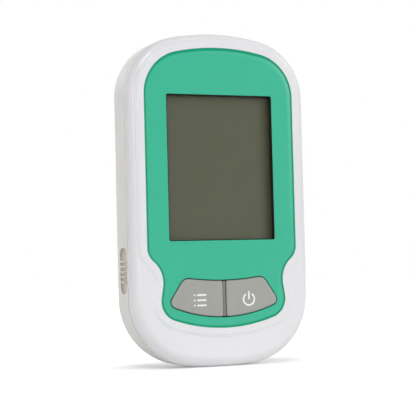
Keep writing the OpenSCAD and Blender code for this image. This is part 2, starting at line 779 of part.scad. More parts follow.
// Leaf under each cell, with a leg down to the board
module cell_contacts() {
    back = cell_front - seat_gap;
    color("gold") for (side = [-1, 1]) {
        block(side * cell_x - leaf_w / 2, side * cell_x + leaf_w / 2, back - contact_t, back,
            bay_z - leaf_h / 2, bay_z + leaf_h / 2);
        contact_leg(side * cell_x, 0, back - contact_t + skin);
    }
}
module contact_leg(x, grow, back) {
    block(x - leg_w / 2 - grow, x + leg_w / 2 + grow, board_back, back,
        bay_z - contact_t / 2 - grow, bay_z + contact_t / 2 + grow);
}
module cell_clips() {
    color("silver") for (side = [-1, 1]) {
        block(side > 0 ? clip_x : -clip_x - clip_t, side > 0 ? clip_x + clip_t : -clip_x,
            bay_floor_depth, cell_back - clip_end_gap, bay_z - clip_h / 2, bay_z + clip_h / 2);
        clip_leg(side, 0, bay_floor_depth + skin);
    }
}
module clip_leg(side, grow, back) {
    block((side > 0 ? clip_x : -clip_x - clip_t) - grow, (side > 0 ? clip_x + clip_t : -clip_x) + grow,
        board_back, back, bay_z - leg_w / 2 - grow, bay_z + leg_w / 2 + grow);
}
module contact_slots() {
    for (side = [-1, 1]) {
        contact_leg(side * cell_x, fit_gap, bay_floor_depth + cut / 2);
        clip_leg(side, fit_gap, bay_floor_depth + cut / 2);
    }
}

module battery_door() {
    color("linen") difference() {
        union() {
            block(-door_half_w, door_half_w, door_depth, door_back, hinge_z, door_top);
            translate([-door_half_w, y_at(hinge_depth), hinge_z]) rotate([0, 90, 0])
                cylinder(h = 2 * door_half_w, r = hinge_r, $fn = 48);
        }
        for (side = [-1, 1]) hinge_pin(side, pin_r + seat_gap, 0);
        translate([0, y_at(door_back) + finger_r - finger_dent, door_top - finger_drop])
            rotate([0, 90, 0]) cylinder(h = finger_w, r = finger_r, center = true, $fn = 64);
    }
}
module door_pins() {
    color("silver") for (side = [-1, 1]) hinge_pin(side, pin_r, -seat_gap);
}

module case_screws() {
    color("silver") for (spot = boss_spots) difference() {
        union() {
            peg(spot, screw_r - seat_gap, screw_tip_depth, screw_seat_depth + skin);
            peg(spot, screw_head_r, screw_seat_depth, screw_seat_depth + screw_head_t);
        }
        for (slot_angle = [0, 90]) translate([spot[0], y_at(screw_seat_depth + screw_head_t), spot[1]])
            rotate([0, slot_angle, 0]) cube([cross_l, 2 * cross_depth, cross_w], center = true);
    }
}
module board_screws() {
    color("silver") for (spot = post_spots) {
        peg(spot, board_screw_r - seat_gap, board_screw_hole_depth + slack, board_back + skin);
        peg(spot, board_screw_head_r, board_back, board_back + board_screw_head_t);
    }
}

front_shell();
rear_shell();
faceplate();
lcd_gasket();
display_lens();
lcd_panel();
lcd_holder();
zebra_connector();
circuit_board();
processor_chip();
analogue_chip();
clock_crystal();
small_parts();
buzzer();
button_left();
button_right();
key_divider();
switch_left();
switch_right();
plunger_left();
plunger_right();
strip_connector();
strip_contacts();
ejector_slider();
ejector_rod();
ejector_spring();
coin_cells();
cell_contacts();
cell_clips();
battery_door();
door_pins();
case_screws();
board_screws();
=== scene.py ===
import math
import bmesh
import bpy
import numpy as np
from mathutils import Matrix, Vector, geometry


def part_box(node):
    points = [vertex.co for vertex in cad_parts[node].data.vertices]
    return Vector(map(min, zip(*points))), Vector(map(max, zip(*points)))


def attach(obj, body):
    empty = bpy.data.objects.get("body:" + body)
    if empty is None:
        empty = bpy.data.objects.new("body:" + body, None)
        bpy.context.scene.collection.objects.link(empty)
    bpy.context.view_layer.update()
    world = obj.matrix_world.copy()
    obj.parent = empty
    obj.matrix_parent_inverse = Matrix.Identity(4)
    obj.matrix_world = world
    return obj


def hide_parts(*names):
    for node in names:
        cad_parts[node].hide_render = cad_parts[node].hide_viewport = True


# Blood glucose meter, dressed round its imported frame. Sizes are in millimetres and depths are
# measured back from the front plane of the case; the meshes themselves are made in metres.

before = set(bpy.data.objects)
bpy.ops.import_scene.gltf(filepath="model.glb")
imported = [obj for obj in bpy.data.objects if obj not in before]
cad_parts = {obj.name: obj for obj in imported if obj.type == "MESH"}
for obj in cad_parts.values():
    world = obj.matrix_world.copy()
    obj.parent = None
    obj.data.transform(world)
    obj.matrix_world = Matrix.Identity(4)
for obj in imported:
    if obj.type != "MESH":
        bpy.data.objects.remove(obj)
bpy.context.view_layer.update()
mm = 0.001


def boxOf(node):
    low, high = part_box(node)
    return np.array(low) / mm, np.array(high) / mm


shellLow, shellHigh = boxOf("front_shell")
panelLow, panelHigh = boxOf("faceplate")
frontY = panelLow[1]  # the panel's face lies in the front plane
caseWidth = shellHigh[0] - shellLow[0]
caseHeight = shellHigh[2]
caseDepth = boxOf("rear_shell")[1][1] - frontY


# Outlines: clockwise chains of (x, z, radius) circles joined by their tangents, where a negative
# radius is a hollow curve

def tangentAngle(p, q):
    dx = q[0] - p[0]
    dz = q[1] - p[1]
    dr = p[2] - q[2]
    return math.atan2(dz, dx) + math.atan2(math.sqrt(max(0.0, dx * dx + dz * dz - dr * dr)), dr)


def crownRadius(x, rise, r):
    return (x * x + rise * rise - r * r) / (2 * (rise - r))


def mirrored(circles):
    return [(-x, z, r) for x, z, r in reversed(circles)]


def traceOutline(circles, slack=0.003, stride=1.6):
    arcs = []
    count = len(circles)
    for i, (x, z, r) in enumerate(circles):
        start = tangentAngle(circles[i - 1], circles[i])
        end = tangentAngle(circles[i], circles[(i + 1) % count])
        sweep = (start - end if r > 0 else end - start) % (2 * math.pi)
        sweep = 0.0 if sweep > 6.1 else sweep
        steps = max(1, math.ceil(sweep / (2 * math.acos(1 - slack / abs(r)))))
        angles = start + (-1 if r > 0 else 1) * sweep * np.arange(steps + 1) / steps
        outward = np.stack([np.cos(angles), np.sin(angles)], 1)
        arcs.append((np.array([x, z]) + r * outward, outward))
    points = []
    directions = []
    for i, (arcPoints, outward) in enumerate(arcs):
        points.append(arcPoints)
        directions.append(outward)
        gap = arcs[(i + 1) % count][0][0] - arcPoints[-1]
        steps = math.ceil(np.linalg.norm(gap) / stride)
        for k in range(1, steps):
            points.append((arcPoints[-1] + gap * k / steps)[None])
            directions.append(outward[-1][None])
    points = np.concatenate(points)
    directions = np.concatenate(directions)
    keep = np.linalg.norm(points - np.roll(points, 1, axis=0), axis=1) > 1e-4
    return points[keep], directions[keep]


def roundedRectangle(halfWidth, halfHeight, r, x=0.0, z=0.0, slack=0.002):
    w = halfWidth - r
    h = halfHeight - r
    corners = [(x + w, z + h, r), (x + w, z - h, r), (x - w, z - h, r), (x - w, z + h, r)]
    return traceOutline(corners, slack)


def circleTrace(x, z, r, count=64):
    angles = -np.arange(count) * 2 * math.pi / count
    outward = np.stack([np.cos(angles), np.sin(angles)], 1)
    return np.array([x, z]) + r * outward, outward


def facingFront(flat, depth):  # outline in x and z
    y = np.broadcast_to(frontY + np.reshape(depth, -1), len(flat))
    return np.stack([flat[:, 0], y, flat[:, 1]], 1)


def facingLeft(flat, depth):  # outline in depth and z, sunk from the left side
    x = np.broadcast_to(-caseWidth / 2 + np.reshape(depth, -1), len(flat))
    return np.stack([x, frontY + flat[:, 0], flat[:, 1]], 1)


def facingDown(flat, depth):  # outline in x and depth, sunk from the lower end
    z = np.broadcast_to(np.reshape(depth, -1), len(flat)).astype(float)
    return np.stack([flat[:, 0], frontY + flat[:, 1], z], 1)


def ringAt(trace, grow, depth, facing=facingFront):  # a traced outline, spread by grow
    points, outward = trace
    return facing(points + outward * np.reshape(grow, (-1, 1)), np.asarray(depth, float))


def quarter(radius, steps=6):  # steps of (sideways, down) round an edge, from its flat top
    angles = np.linspace(0, math.pi / 2, steps + 1)
    return [(radius * math.sin(a), radius * (1 - math.cos(a))) for a in angles]


# Rings round the edge of a traced face at a depth, from the face to its side; away is 1 where the body
# lies behind the face, and turn is -1 where the face lies outside the trace, as round an opening
def edgeRings(trace, edge, depth, away=1, grow=0.0, steps=6, turn=1, facing=facingFront):
    return [ringAt(trace, turn * (side - edge) + grow, depth + away * down, facing)
            for side, down in quarter(edge, steps)]


def addObject(name, mesh):
    piece = bpy.data.objects.new(name, mesh)
    bpy.context.scene.collection.objects.link(piece)
    return piece


def meshFrom(name, points, faces):
    mesh = bpy.data.meshes.new(name)
    mesh.from_pydata((np.asarray(points) * mm).tolist(), [], faces)
    bm = bmesh.new()
    bm.from_mesh(mesh)
    bmesh.ops.remove_doubles(bm, verts=bm.verts, dist=1e-7)
    bmesh.ops.recalc_face_normals(bm, faces=bm.faces)
    bm.to_mesh(mesh)
    bm.free()
    return addObject(name, mesh)


# A skin through rings of equally many points, closed by caps or joined end to end into a tube
def loft(name, rings, tube=False):
    count = len(rings[0])
    faces = []
    for j in range(len(rings) if tube else len(rings) - 1):
        here = j * count
        there = (j + 1) % len(rings) * count
        for i in range(count):
            k = (i + 1) % count
            faces.append((here + i, here + k, there + k, there + i))
    if not tube:
        faces.append(tuple(range((len(rings) - 1) * count, len(rings) * count)))
        faces.append(tuple(range(count)))
    return meshFrom(name, np.concatenate(rings), faces)


def block(name, low, high):
    ends = list(zip(low, high))
    corners = [(x, y, z) for x in ends[0] for y in ends[1] for z in ends[2]]
    sides = [(0, 1, 3, 2), (4, 6, 7, 5), (0, 4, 5, 1), (2, 3, 7, 6), (0, 2, 6, 4), (1, 5, 7, 3)]
    return meshFrom(name, corners, sides)


# A cutter for an opening whose rim is rounded by edge; it reaches from outside down to depth reach
def openingCutter(trace, surface, reach, edge, facing=facingFront, away=1):
    rings = [ringAt(trace, edge, surface - 2 * away, facing)]
    rings += edgeRings(trace, edge, surface, away, turn=-1, facing=facing)
    return loft("cutter", rings + [ringAt(trace, 0, reach, facing)])


def applyModifiers(piece):
    graph = bpy.context.evaluated_depsgraph_get()
    mesh = bpy.data.meshes.new_from_object(piece.evaluated_get(graph))
    piece.modifiers.clear()
    piece.data = mesh
    return piece


def combine(piece, operation, others):
    for other in others:
        step = piece.modifiers.new("combine", "BOOLEAN")
        step.operation = operation
        step.solver = "MANIFOLD"
        step.object = other
        applyModifiers(piece)
        bpy.data.objects.remove(other)
    return piece


def cutFrom(piece, *others):
    return combine(piece, "DIFFERENCE", others)


def joinTo(piece, *others):
    return combine(piece, "UNION", others)


def copyOf(node, name):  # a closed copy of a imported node's mesh
    piece = addObject(name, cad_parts[node].data.copy())
    piece.data.materials.clear()
    bm = bmesh.new()
    bm.from_mesh(piece.data)
    bmesh.ops.remove_doubles(bm, verts=bm.verts, dist=2e-7)
    bmesh.ops.dissolve_limit(bm, angle_limit=0.002, verts=bm.verts, edges=bm.edges)
    bmesh.ops.triangulate(bm, faces=[f for f in bm.faces if len(f.verts) > 4])
    bm.to_mesh(piece.data)
    bm.free()
    return piece


def coreOf(node, *inside):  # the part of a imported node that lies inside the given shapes
    keep = joinTo(*inside)
    return combine(copyOf(node, "core"), "INTERSECT", [keep])


def soften(piece, edge, segments, angle=30):  # rounds the edges that turn by more than angle
    bevel = piece.modifiers.new("edges", "BEVEL")
    bevel.width = edge * mm
    bevel.segments = segments
    bevel.limit_method = "ANGLE"
    bevel.angle_limit = math.radians(angle)
    return applyModifiers(piece)


def smoothShade(piece, angle=32):
    bm = bmesh.new()
    bm.from_mesh(piece.data)
    bmesh.ops.dissolve_degenerate(bm, dist=1e-7, edges=bm.edges)
    bm.to_mesh(piece.data)
    bm.free()
    for face in piece.data.polygons:
        face.use_smooth = True
    piece.data.set_sharp_from_angle(angle=math.radians(angle))
    weigh = piece.modifiers.new("weighted normals", "WEIGHTED_NORMAL")
    weigh.keep_sharp = True
    weigh.weight = 60
    return applyModifiers(piece)


def dress(piece, name, body, slot, material, *nodes):
    smoothShade(piece)
    piece.name = name
    piece.data.name = name
    piece.data.materials.clear()
    piece.data.materials.append(material)
    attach(piece, body)
    if nodes:
        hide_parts(*nodes)
    return piece


def report(*pieces):
    for piece in pieces:
        print(f"{piece.name}: {len(piece.data.polygons)} faces")


# Finishes

def newMaterial(name):
    material = bpy.data.materials.new(name)
    material.use_nodes = True
    tree = material.node_tree
    place = tree.nodes.new("ShaderNodeTexCoord").outputs["Object"]
    return material, tree, tree.nodes["Principled BSDF"], place


def noise(tree, place, size, detail=3.0, roughness=0.55):  # size of one blotch, in mm
    node = tree.nodes.new("ShaderNodeTexNoise")
    node.inputs["Scale"].default_value = 1 / (size * mm)
    node.inputs["Detail"].default_value = detail
    node.inputs["Roughness"].default_value = roughness
    tree.links.new(place, node.inputs["Vector"])
    return node.outputs["Fac"]


def ramp(tree, value, stops):
    node = tree.nodes.new("ShaderNodeValToRGB")
    while len(node.color_ramp.elements) < len(stops):
        node.color_ramp.elements.new(0.5)
    for element, (position, color) in zip(node.color_ramp.elements, stops):
        element.position = position
        element.color = (*color, 1)
    tree.links.new(value, node.inputs["Fac"])
    return node.outputs["Color"]


def spread(tree, value, low, high):
    node = tree.nodes.new("ShaderNodeMapRange")
    node.inputs["From Min"].default_value = 0.3
    node.inputs["From Max"].default_value = 0.7
    node.inputs["To Min"].default_value = low
    node.inputs["To Max"].default_value = high
    tree.links.new(value, node.inputs["Value"])
    return node.outputs["Result"]


def bump(tree, shader, height, distance, strength=1.0):  # distance in mm
    node = tree.nodes.new("ShaderNodeBump")
    node.inputs["Distance"].default_value = distance * mm
    node.inputs["Strength"].default_value = strength
    tree.links.new(height, node.inputs["Height"])
    tree.links.new(node.outputs["Normal"], shader.inputs["Normal"])
    return node


def tinted(color, factor):
    return tuple(min(1.0, c * factor) for c in color)


# Moulded plastic: faint clouding from the flow of the melt, a fine spark-eroded grain and a gloss
# that varies a little from place to place
def mouldedPlastic(name, look):
    material, tree, shader, place = newMaterial(name)
    cloud = noise(tree, place, look["cloudSize"], 2.0)
    color = ramp(tree, cloud, [(0.3, tinted(look["color"], 1 - look["cloud"])),
                               (0.7, tinted(look["color"], 1 + look["cloud"]))])
    tree.links.new(color, shader.inputs["Base Color"])
    gloss = spread(tree, noise(tree, place, look["glossSize"]), *look["roughness"])
    tree.links.new(gloss, shader.inputs["Roughness"])
    shader.inputs["IOR"].default_value = look["ior"]
    shader.inputs["Specular IOR Level"].default_value = look.get("specular", 0.5)
    shader.inputs["Subsurface Weight"].default_value = look.get("depth", 0.0)
    shader.inputs["Subsurface Radius"].default_value = (1.0, 0.9, 0.8)
    shader.inputs["Subsurface Scale"].default_value = 0.6 * mm
    if look["grain"] > 0:
        bump(tree, shader, noise(tree, place, look["grainSize"], 2.0), look["grain"])
    return material


def plasticWithPaintedShade(name, look):  # a moulded plastic with painted shade: its colour turns darker where it dips below its face
    material = mouldedPlastic(name, look)
    tree = material.node_tree
    shader = tree.nodes["Principled BSDF"]
    place = tree.nodes.new("ShaderNodeTexCoord").outputs["Object"]
    parts = tree.nodes.new("ShaderNodeSeparateXYZ")
    tree.links.new(place, parts.inputs["Vector"])
    # Painted shade: from the first depth behind the face to the second the colour darkens, standing in
    # for the shade on edges and walls below it
    sunk = tree.nodes.new("ShaderNodeMapRange")
    start, end = look["paintedShadeDepths"]
    sunk.inputs["From Min"].default_value = (frontY + start) * mm
    sunk.inputs["From Max"].default_value = (frontY + end) * mm
    tree.links.new(parts.outputs["Y"], sunk.inputs["Value"])
    mix = tree.nodes.new("ShaderNodeMix")
    mix.data_type = "RGBA"
    tree.links.new(sunk.outputs["Result"], mix.inputs["Factor"])
    tree.links.new(shader.inputs["Base Color"].links[0].from_socket, mix.inputs["A"])
    mix.inputs["B"].default_value = (*look["paintedShadeColor"], 1)
    tree.links.new(mix.outputs["Result"], shader.inputs["Base Color"])
    return material


def polishedMetal(name, look):
    material, tree, shader, place = newMaterial(name)
    cloud = noise(tree, place, look["cloudSize"])
    color = ramp(tree, cloud, [(0.3, tinted(look["color"], 0.93)), (0.7, tinted(look["color"], 1.05))])
    tree.links.new(color, shader.inputs["Base Color"])
    shader.inputs["Metallic"].default_value = 1.0
    gloss = spread(tree, noise(tree, place, look["grainSize"]), *look["roughness"])
    tree.links.new(gloss, shader.inputs["Roughness"])
    bump(tree, shader, noise(tree, place, look["grainSize"]), look["grain"])
    return material


def clearPlastic(name, look):
    material = bpy.data.materials.new(name)
    material.use_nodes = True
    tree = material.node_tree
    tree.nodes.remove(tree.nodes["Principled BSDF"])
    through = tree.nodes.new("ShaderNodeBsdfTransparent")
    through.inputs["Color"].default_value = (*look["color"], 1)
    gloss = tree.nodes.new("ShaderNodeBsdfGlossy")
    gloss.inputs["Roughness"].default_value = look["roughness"]
    edgeOn = tree.nodes.new("ShaderNodeFresnel")
    edgeOn.inputs["IOR"].default_value = look["ior"]
    blend = tree.nodes.new("ShaderNodeMixShader")
    tree.links.new(edgeOn.outputs["Fac"], blend.inputs["Fac"])
    tree.links.new(through.outputs["BSDF"], blend.inputs[1])
    tree.links.new(gloss.outputs["BSDF"], blend.inputs[2])
    tree.links.new(blend.outputs["Shader"], tree.nodes["Material Output"].inputs["Surface"])
    return material


def circuitBoard(name, look):  # solder mask over a pattern of tracks
    material, tree, shader, place = newMaterial(name)
    tracks = tree.nodes.new("ShaderNodeTexBrick")
    tracks.inputs["Scale"].default_value = 1 / (look["trackPitch"] * mm)
    tracks.inputs["Color1"].default_value = (*look["color"], 1)
    tracks.inputs["Color2"].default_value = (*tinted(look["color"], 0.85), 1)
    tracks.inputs["Mortar"].default_value = (*tinted(look["color"], 1.6), 1)
    tracks.inputs["Mortar Size"].default_value = look["trackWidth"]
    turned = tree.nodes.new("ShaderNodeMapping")
    turned.inputs["Rotation"].default_value = (math.pi / 2, 0, 0)
    tree.links.new(place, turned.inputs["Vector"])
    tree.links.new(turned.outputs["Vector"], tracks.inputs["Vector"])
    tree.links.new(tracks.outputs["Color"], shader.inputs["Base Color"])
    gloss = spread(tree, noise(tree, place, look["glossSize"]), *look["roughness"])
    tree.links.new(gloss, shader.inputs["Roughness"])
    bump(tree, shader, tracks.outputs["Fac"], look["trackRelief"])
    return material


def stripedElastomer(name, look):  # alternate conducting and insulating layers
    material, tree, shader, place = newMaterial(name)
    layers = tree.nodes.new("ShaderNodeTexWave")
    layers.inputs["Scale"].default_value = 0.3 / (look["layer"] * mm)
    tree.links.new(place, layers.inputs["Vector"])
    color = ramp(tree, layers.outputs["Fac"], [(0.45, look["color"]), (0.55, look["otherColor"])])
    tree.links.new(color, shader.inputs["Base Color"])
    shader.inputs["Roughness"].default_value = look["roughness"]
    return material


finishes = {  # cloud is a share of the colour; sizes and the depth of the grain are in mm
    "shellWhite": {"color": (0.805, 0.80, 0.82), "cloud": 0.006, "cloudSize": 14, "ior": 1.5,
                   "roughness": (0.20, 0.25), "glossSize": 6, "grainSize": 0.2, "grain": 0.0008,
                   "depth": 0.06},
    "shellWarm": {"color": (0.77, 0.745, 0.72), "cloud": 0.010, "cloudSize": 14, "ior": 1.5,
                  "roughness": (0.36, 0.44), "glossSize": 5, "grainSize": 0.16, "grain": 0.003,
                  "depth": 0.06},
    "webGrey": {"color": (0.19, 0.19, 0.17), "cloud": 0.02, "cloudSize": 6, "ior": 1.5,
                "roughness": (0.42, 0.5), "glossSize": 3, "grainSize": 0.14, "grain": 0.003},
    "printWhite": {"color": (0.9, 0.9, 0.9), "cloud": 0.01, "cloudSize": 2, "ior": 1.45,
                   "roughness": (0.4, 0.5), "glossSize": 1, "grainSize": 0.1, "grain": 0.001},
    "sliderBeige": {"color": (0.66, 0.60, 0.52), "cloud": 0.02, "cloudSize": 5, "ior": 1.5,
                    "roughness": (0.40, 0.48), "glossSize": 3, "grainSize": 0.14, "grain": 0.003},
    "frameBlack": {"color": (0.011, 0.007, 0.005), "cloud": 0.1, "cloudSize": 3, "ior": 1.2,
                   "roughness": (0.6, 0.7), "glossSize": 3, "grainSize": 0.1, "grain": 0.003},
    "displayOlive": {"color": (0.097, 0.101, 0.055), "cloud": 0.012, "cloudSize": 8, "ior": 1.5,
                     "roughness": (0.34, 0.38), "glossSize": 5, "grainSize": 0.5, "grain": 0.0},
    "naturalPlastic": {"color": (0.72, 0.71, 0.66), "cloud": 0.02, "cloudSize": 5, "ior": 1.5,
                       "roughness": (0.4, 0.5), "glossSize": 3, "grainSize": 0.15, "grain": 0.003},
    "chipBlack": {"color": (0.018, 0.018, 0.02), "cloud": 0.15, "cloudSize": 1, "ior": 1.5,
                  "roughness": (0.55, 0.68), "glossSize": 1, "grainSize": 0.06, "grain": 0.004},
    "ceramicTan": {"color": (0.42, 0.33, 0.22), "cloud": 0.06, "cloudSize": 1, "ior": 1.5,
                   "roughness": (0.4, 0.55), "glossSize": 1, "grainSize": 0.05, "grain": 0.002},
    # a darker, duller copy of the panel's green: painted shade for the groove along the panel's border
    "rimGreenPaintedShade": {"color": (0.0, 0.33, 0.17), "cloud": 0.01, "cloudSize": 11, "ior": 1.5,
                 "roughness": (0.5, 0.6), "glossSize": 4, "grainSize": 0.18, "grain": 0.001,
                 "specular": 0.2},
}
# Plastics with painted shade: their edges and walls below the face darken towards the painted shade
# colour
paintedShadeLooks = {
    "panelGreen": {"color": (0.02, 0.445, 0.27), "cloud": 0.012, "cloudSize": 11, "ior": 1.55,
                   "roughness": (0.31, 0.37), "glossSize": 4, "grainSize": 0.18, "grain": 0.002,
                   "paintedShadeColor": (0.0, 0.20, 0.09), "paintedShadeDepths": (0.1, 0.24)},
    "keyGrey": {"color": (0.355, 0.355, 0.33), "cloud": 0.02, "cloudSize": 6, "ior": 1.5,
                "roughness": (0.36, 0.44), "glossSize": 3, "grainSize": 0.14, "grain": 0.002,
                "paintedShadeColor": (0.12, 0.125, 0.10), "paintedShadeDepths": (0.05, 0.3)},
}
metals = {
    "steel": {"color": (0.62, 0.62, 0.61), "cloudSize": 2.0, "roughness": (0.22, 0.34),
              "grainSize": 0.3, "grain": 0.002},
    "brass": {"color": (0.78, 0.58, 0.26), "cloudSize": 2.0, "roughness": (0.24, 0.36),
              "grainSize": 0.3, "grain": 0.002},
}
clearLook = {"color": (0.97, 0.975, 0.97), "roughness": 0.1, "ior": 1.17}
boardLook = {"color": (0.02, 0.16, 0.07), "roughness": (0.3, 0.4), "glossSize": 3.0,
             "trackPitch": 3, "trackWidth": 0.05, "trackRelief": 0.02}
elastomerLook = {"color": (0.04, 0.04, 0.04), "otherColor": (0.5, 0.48, 0.45), "layer": 0.1,
                 "roughness": 0.6}
finish = {name: mouldedPlastic(name, look) for name, look in finishes.items()}
finish.update({name: plasticWithPaintedShade(name, look) for name, look in paintedShadeLooks.items()})
finish.update({name: polishedMetal(name, look) for name, look in metals.items()})
finish["clearPlastic"] = clearPlastic("clearPlastic", clearLook)
finish["circuitBoard"] = circuitBoard("circuitBoard", boardLook)
finish["elastomer"] = stripedElastomer("elastomer", elastomerLook)
print("finishes made:", len(finish))


# The shared outlines of the case, the panel, the keys and the window

caseShape = {
    "topCornerRadius": 17.5,
    "topCrown": 1.17,  # rise of the arched top over its corner arcs
    "lowCornerRadius": 19.9,
    "lowCrown": 0.41,
    "frontEdge": 3.4,
    "backEdge": 4.5,
    "seamDepth": 4.5,
    "seamGap": 0.2,
    "seamEdge": 0.12,
    "roll": 1.5,  # radius of the front shell's turn inwards at the seam, and its angle
    "rollAngle": 32,
}
panelShape = {
    "shoulderRadius": 4.9,
    "shoulderRise": 23.5,  # over the panel's lower edge, as the next two rises are
    "waistRadius": 8.0,
    "waistHalfWidth": 18.9,
    "waistRise": 13.55,
    "lobeRadius": 5.75,
    "lobeHalfWidth": 19.6,
    "lobeRise": 8.05,
}
keyShape = {
    "flange": 0.7,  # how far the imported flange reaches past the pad
    "dip": 10.46,  # height of the hollow top edge over the lowest point
    "upperX": 11.2,
    "upperRadius": 2.8,
    "upperRise": 8.45,
    "outerX": 15.0,
    "outerRadius": 1.75,
    "outerRise": 4.6,
    "split": 1.1,  # distance between the two keys
    "splitCorner": 0.58,
    "gap": 0.23,  # to the panel
}
windowShape = {
    "frameWidth": 1.1,  # of the black frame behind the panel's edge
    "corner": 0.5,
    "lip": 0.5,  # thickness of the panel's edge in front of it
}

topX = caseWidth / 2 - caseShape["topCornerRadius"]
topZ = caseHeight - caseShape["topCrown"] - caseShape["topCornerRadius"]
topArc = crownRadius(topX, caseHeight - topZ, caseShape["topCornerRadius"])
panelMargin = caseHeight - panelHigh[2]
keysLow = boxOf("button_left")[0][2] + keyShape["flange"]
gasketLow, gasketHigh = boxOf("lcd_gasket")
windowHalfWidth = gasketHigh[0] - windowShape["frameWidth"]
windowHalfHeight = (gasketHigh[2] - gasketLow[2]) / 2 - windowShape["frameWidth"]
windowZ = (gasketHigh[2] + gasketLow[2]) / 2
panelThickness = panelHigh[1] - panelLow[1]


def caseCircles():
    lowR = caseShape["lowCornerRadius"]
    lowX = caseWidth / 2 - lowR
    lowZ = lowR + caseShape["lowCrown"]
    lowArc = crownRadius(lowX, lowZ, lowR)
    side = [(topX, topZ, caseShape["topCornerRadius"]), (lowX, lowZ, lowR)]
    return [(0, caseHeight - topArc, topArc)] + side + [(0, lowArc, lowArc)] + mirrored(side)


def panelCircles():
    low = panelLow[2]
    lobeX = panelShape["lobeHalfWidth"] - panelShape["lobeRadius"]
    lowArc = crownRadius(lobeX, panelShape["lobeRise"], panelShape["lobeRadius"])
    side = [(topX, topZ, caseShape["topCornerRadius"] - panelMargin),
            (panelHigh[0] - panelShape["shoulderRadius"], low + panelShape["shoulderRise"],
             panelShape["shoulderRadius"]),
            (panelShape["waistHalfWidth"] + panelShape["waistRadius"], low + panelShape["waistRise"],
             -panelShape["waistRadius"]),
            (lobeX, low + panelShape["lobeRise"], panelShape["lobeRadius"])]
    return ([(0, caseHeight - topArc, topArc - panelMargin)] + side
            + [(0, low + lowArc, lowArc)] + mirrored(side))


def keyArcs():  # radii of the pair's hollow top and bulging lower edge
    over = keyShape["dip"] - keyShape["upperRise"]
    dip = crownRadius(keyShape["upperX"], over, keyShape["upperRadius"])
    low = crownRadius(keyShape["outerX"], keyShape["outerRise"], keyShape["outerRadius"])
    return dip, low


def keySide():
    return [(keyShape["upperX"], keysLow + keyShape["upperRise"], keyShape["upperRadius"]),
            (keyShape["outerX"], keysLow + keyShape["outerRise"], keyShape["outerRadius"])]


def keyPairCircles():
    dip, low = keyArcs()
    return ([(0, keysLow + keyShape["dip"] - dip, dip)] + keySide()
            + [(0, keysLow + low, low)] + mirrored(keySide()))


def oneKeyCircles(side):  # side is 1 for the right key and -1 for the left
    dip, low = keyArcs()
    r = keyShape["splitCorner"]
    x = keyShape["split"] / 2 + r
    dipZ = keysLow + keyShape["dip"] - dip
    lowZ = keysLow + low
    upper = (x, dipZ - math.sqrt((r - dip) ** 2 - x * x), r)
    lower = (x, lowZ - math.sqrt((low - r) ** 2 - x * x), r)
    circles = [upper, (0, dipZ, dip)] + keySide() + [(0, lowZ, low), lower]
    return circles if side > 0 else mirrored(circles)


caseTrace = traceOutline(caseCircles())
panelTrace = traceOutline(panelCircles(), 0.002, 1.2)
windowTrace = roundedRectangle(windowHalfWidth, windowHalfHeight, windowShape["corner"], 0, windowZ)
keyPairTrace = traceOutline(keyPairCircles())


def nearestOn(line, places):  # nearest points of a closed line to each place
    start = line[None]
    step = np.roll(line, -1, axis=0)[None] - start
    along = ((places[:, None] - start) * step).sum(2) / (step * step).sum(2)
    feet = start + np.clip(along, 0, 1)[..., None] * step
    best = np.linalg.norm(places[:, None] - feet, axis=2).argmin(1)
    return feet[np.arange(len(places)), best]


# Front shell: one tube of rings that runs up the panel's recess, over the collar and its fine steps,
# across the face, round the front edge and down to the seam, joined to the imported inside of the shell

frontShell = {
    "recessGap": 0.1,
    "recessEdge": 0.1,
    "collarWidth": 2.0,  # to the first of the two fine steps that go down to the face
    "collarHeight": 0.3,
    "steps": ((0.42, 0.6), (0.27, 0.4)),  # width of each and its share of the height
    "ledge": 0.16,
    "floor": 1.2,  # thickness of the floor behind the panel
    "floorReach": 1.4,  # how far the new floor goes in under the panel's border
    "lap": 0.05,  # between new and packed faces, so that none coincide
    "skin": 1.2,  # thickness of the part made here
    "faceRings": 30,
    "coreInset": 0.9,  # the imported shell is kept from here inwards, and from the next depth back
    "coreFront": 2.0,
    "floorInset": 1.0,  # the same for its floor, between two depths
    "floorDepths": (1.3, 3.0),
}
fineCase = traceOutline(caseCircles(), 0.0005, 0.5)[0]


def shellFace(inset):  # depth of the shell's face at a distance in from the case's outline
    r = caseShape["frontEdge"]
    over = np.clip(r - inset, 0, r)
    return frontShell["collarHeight"] + r - np.sqrt(r * r - over * over)


def surfaceRun(inset):  # distance along the face from the end of its rounded edge
    r = caseShape["frontEdge"]
    return np.where(inset < r, r * np.arccos(np.clip(1 - inset / r, 0, 1)), r * math.pi / 2 + inset - r)


def insetAt(run):
    r = caseShape["frontEdge"]
    return np.where(run < r * math.pi / 2, r * (1 - np.cos(run / r)), run - r * math.pi / 2 + r)


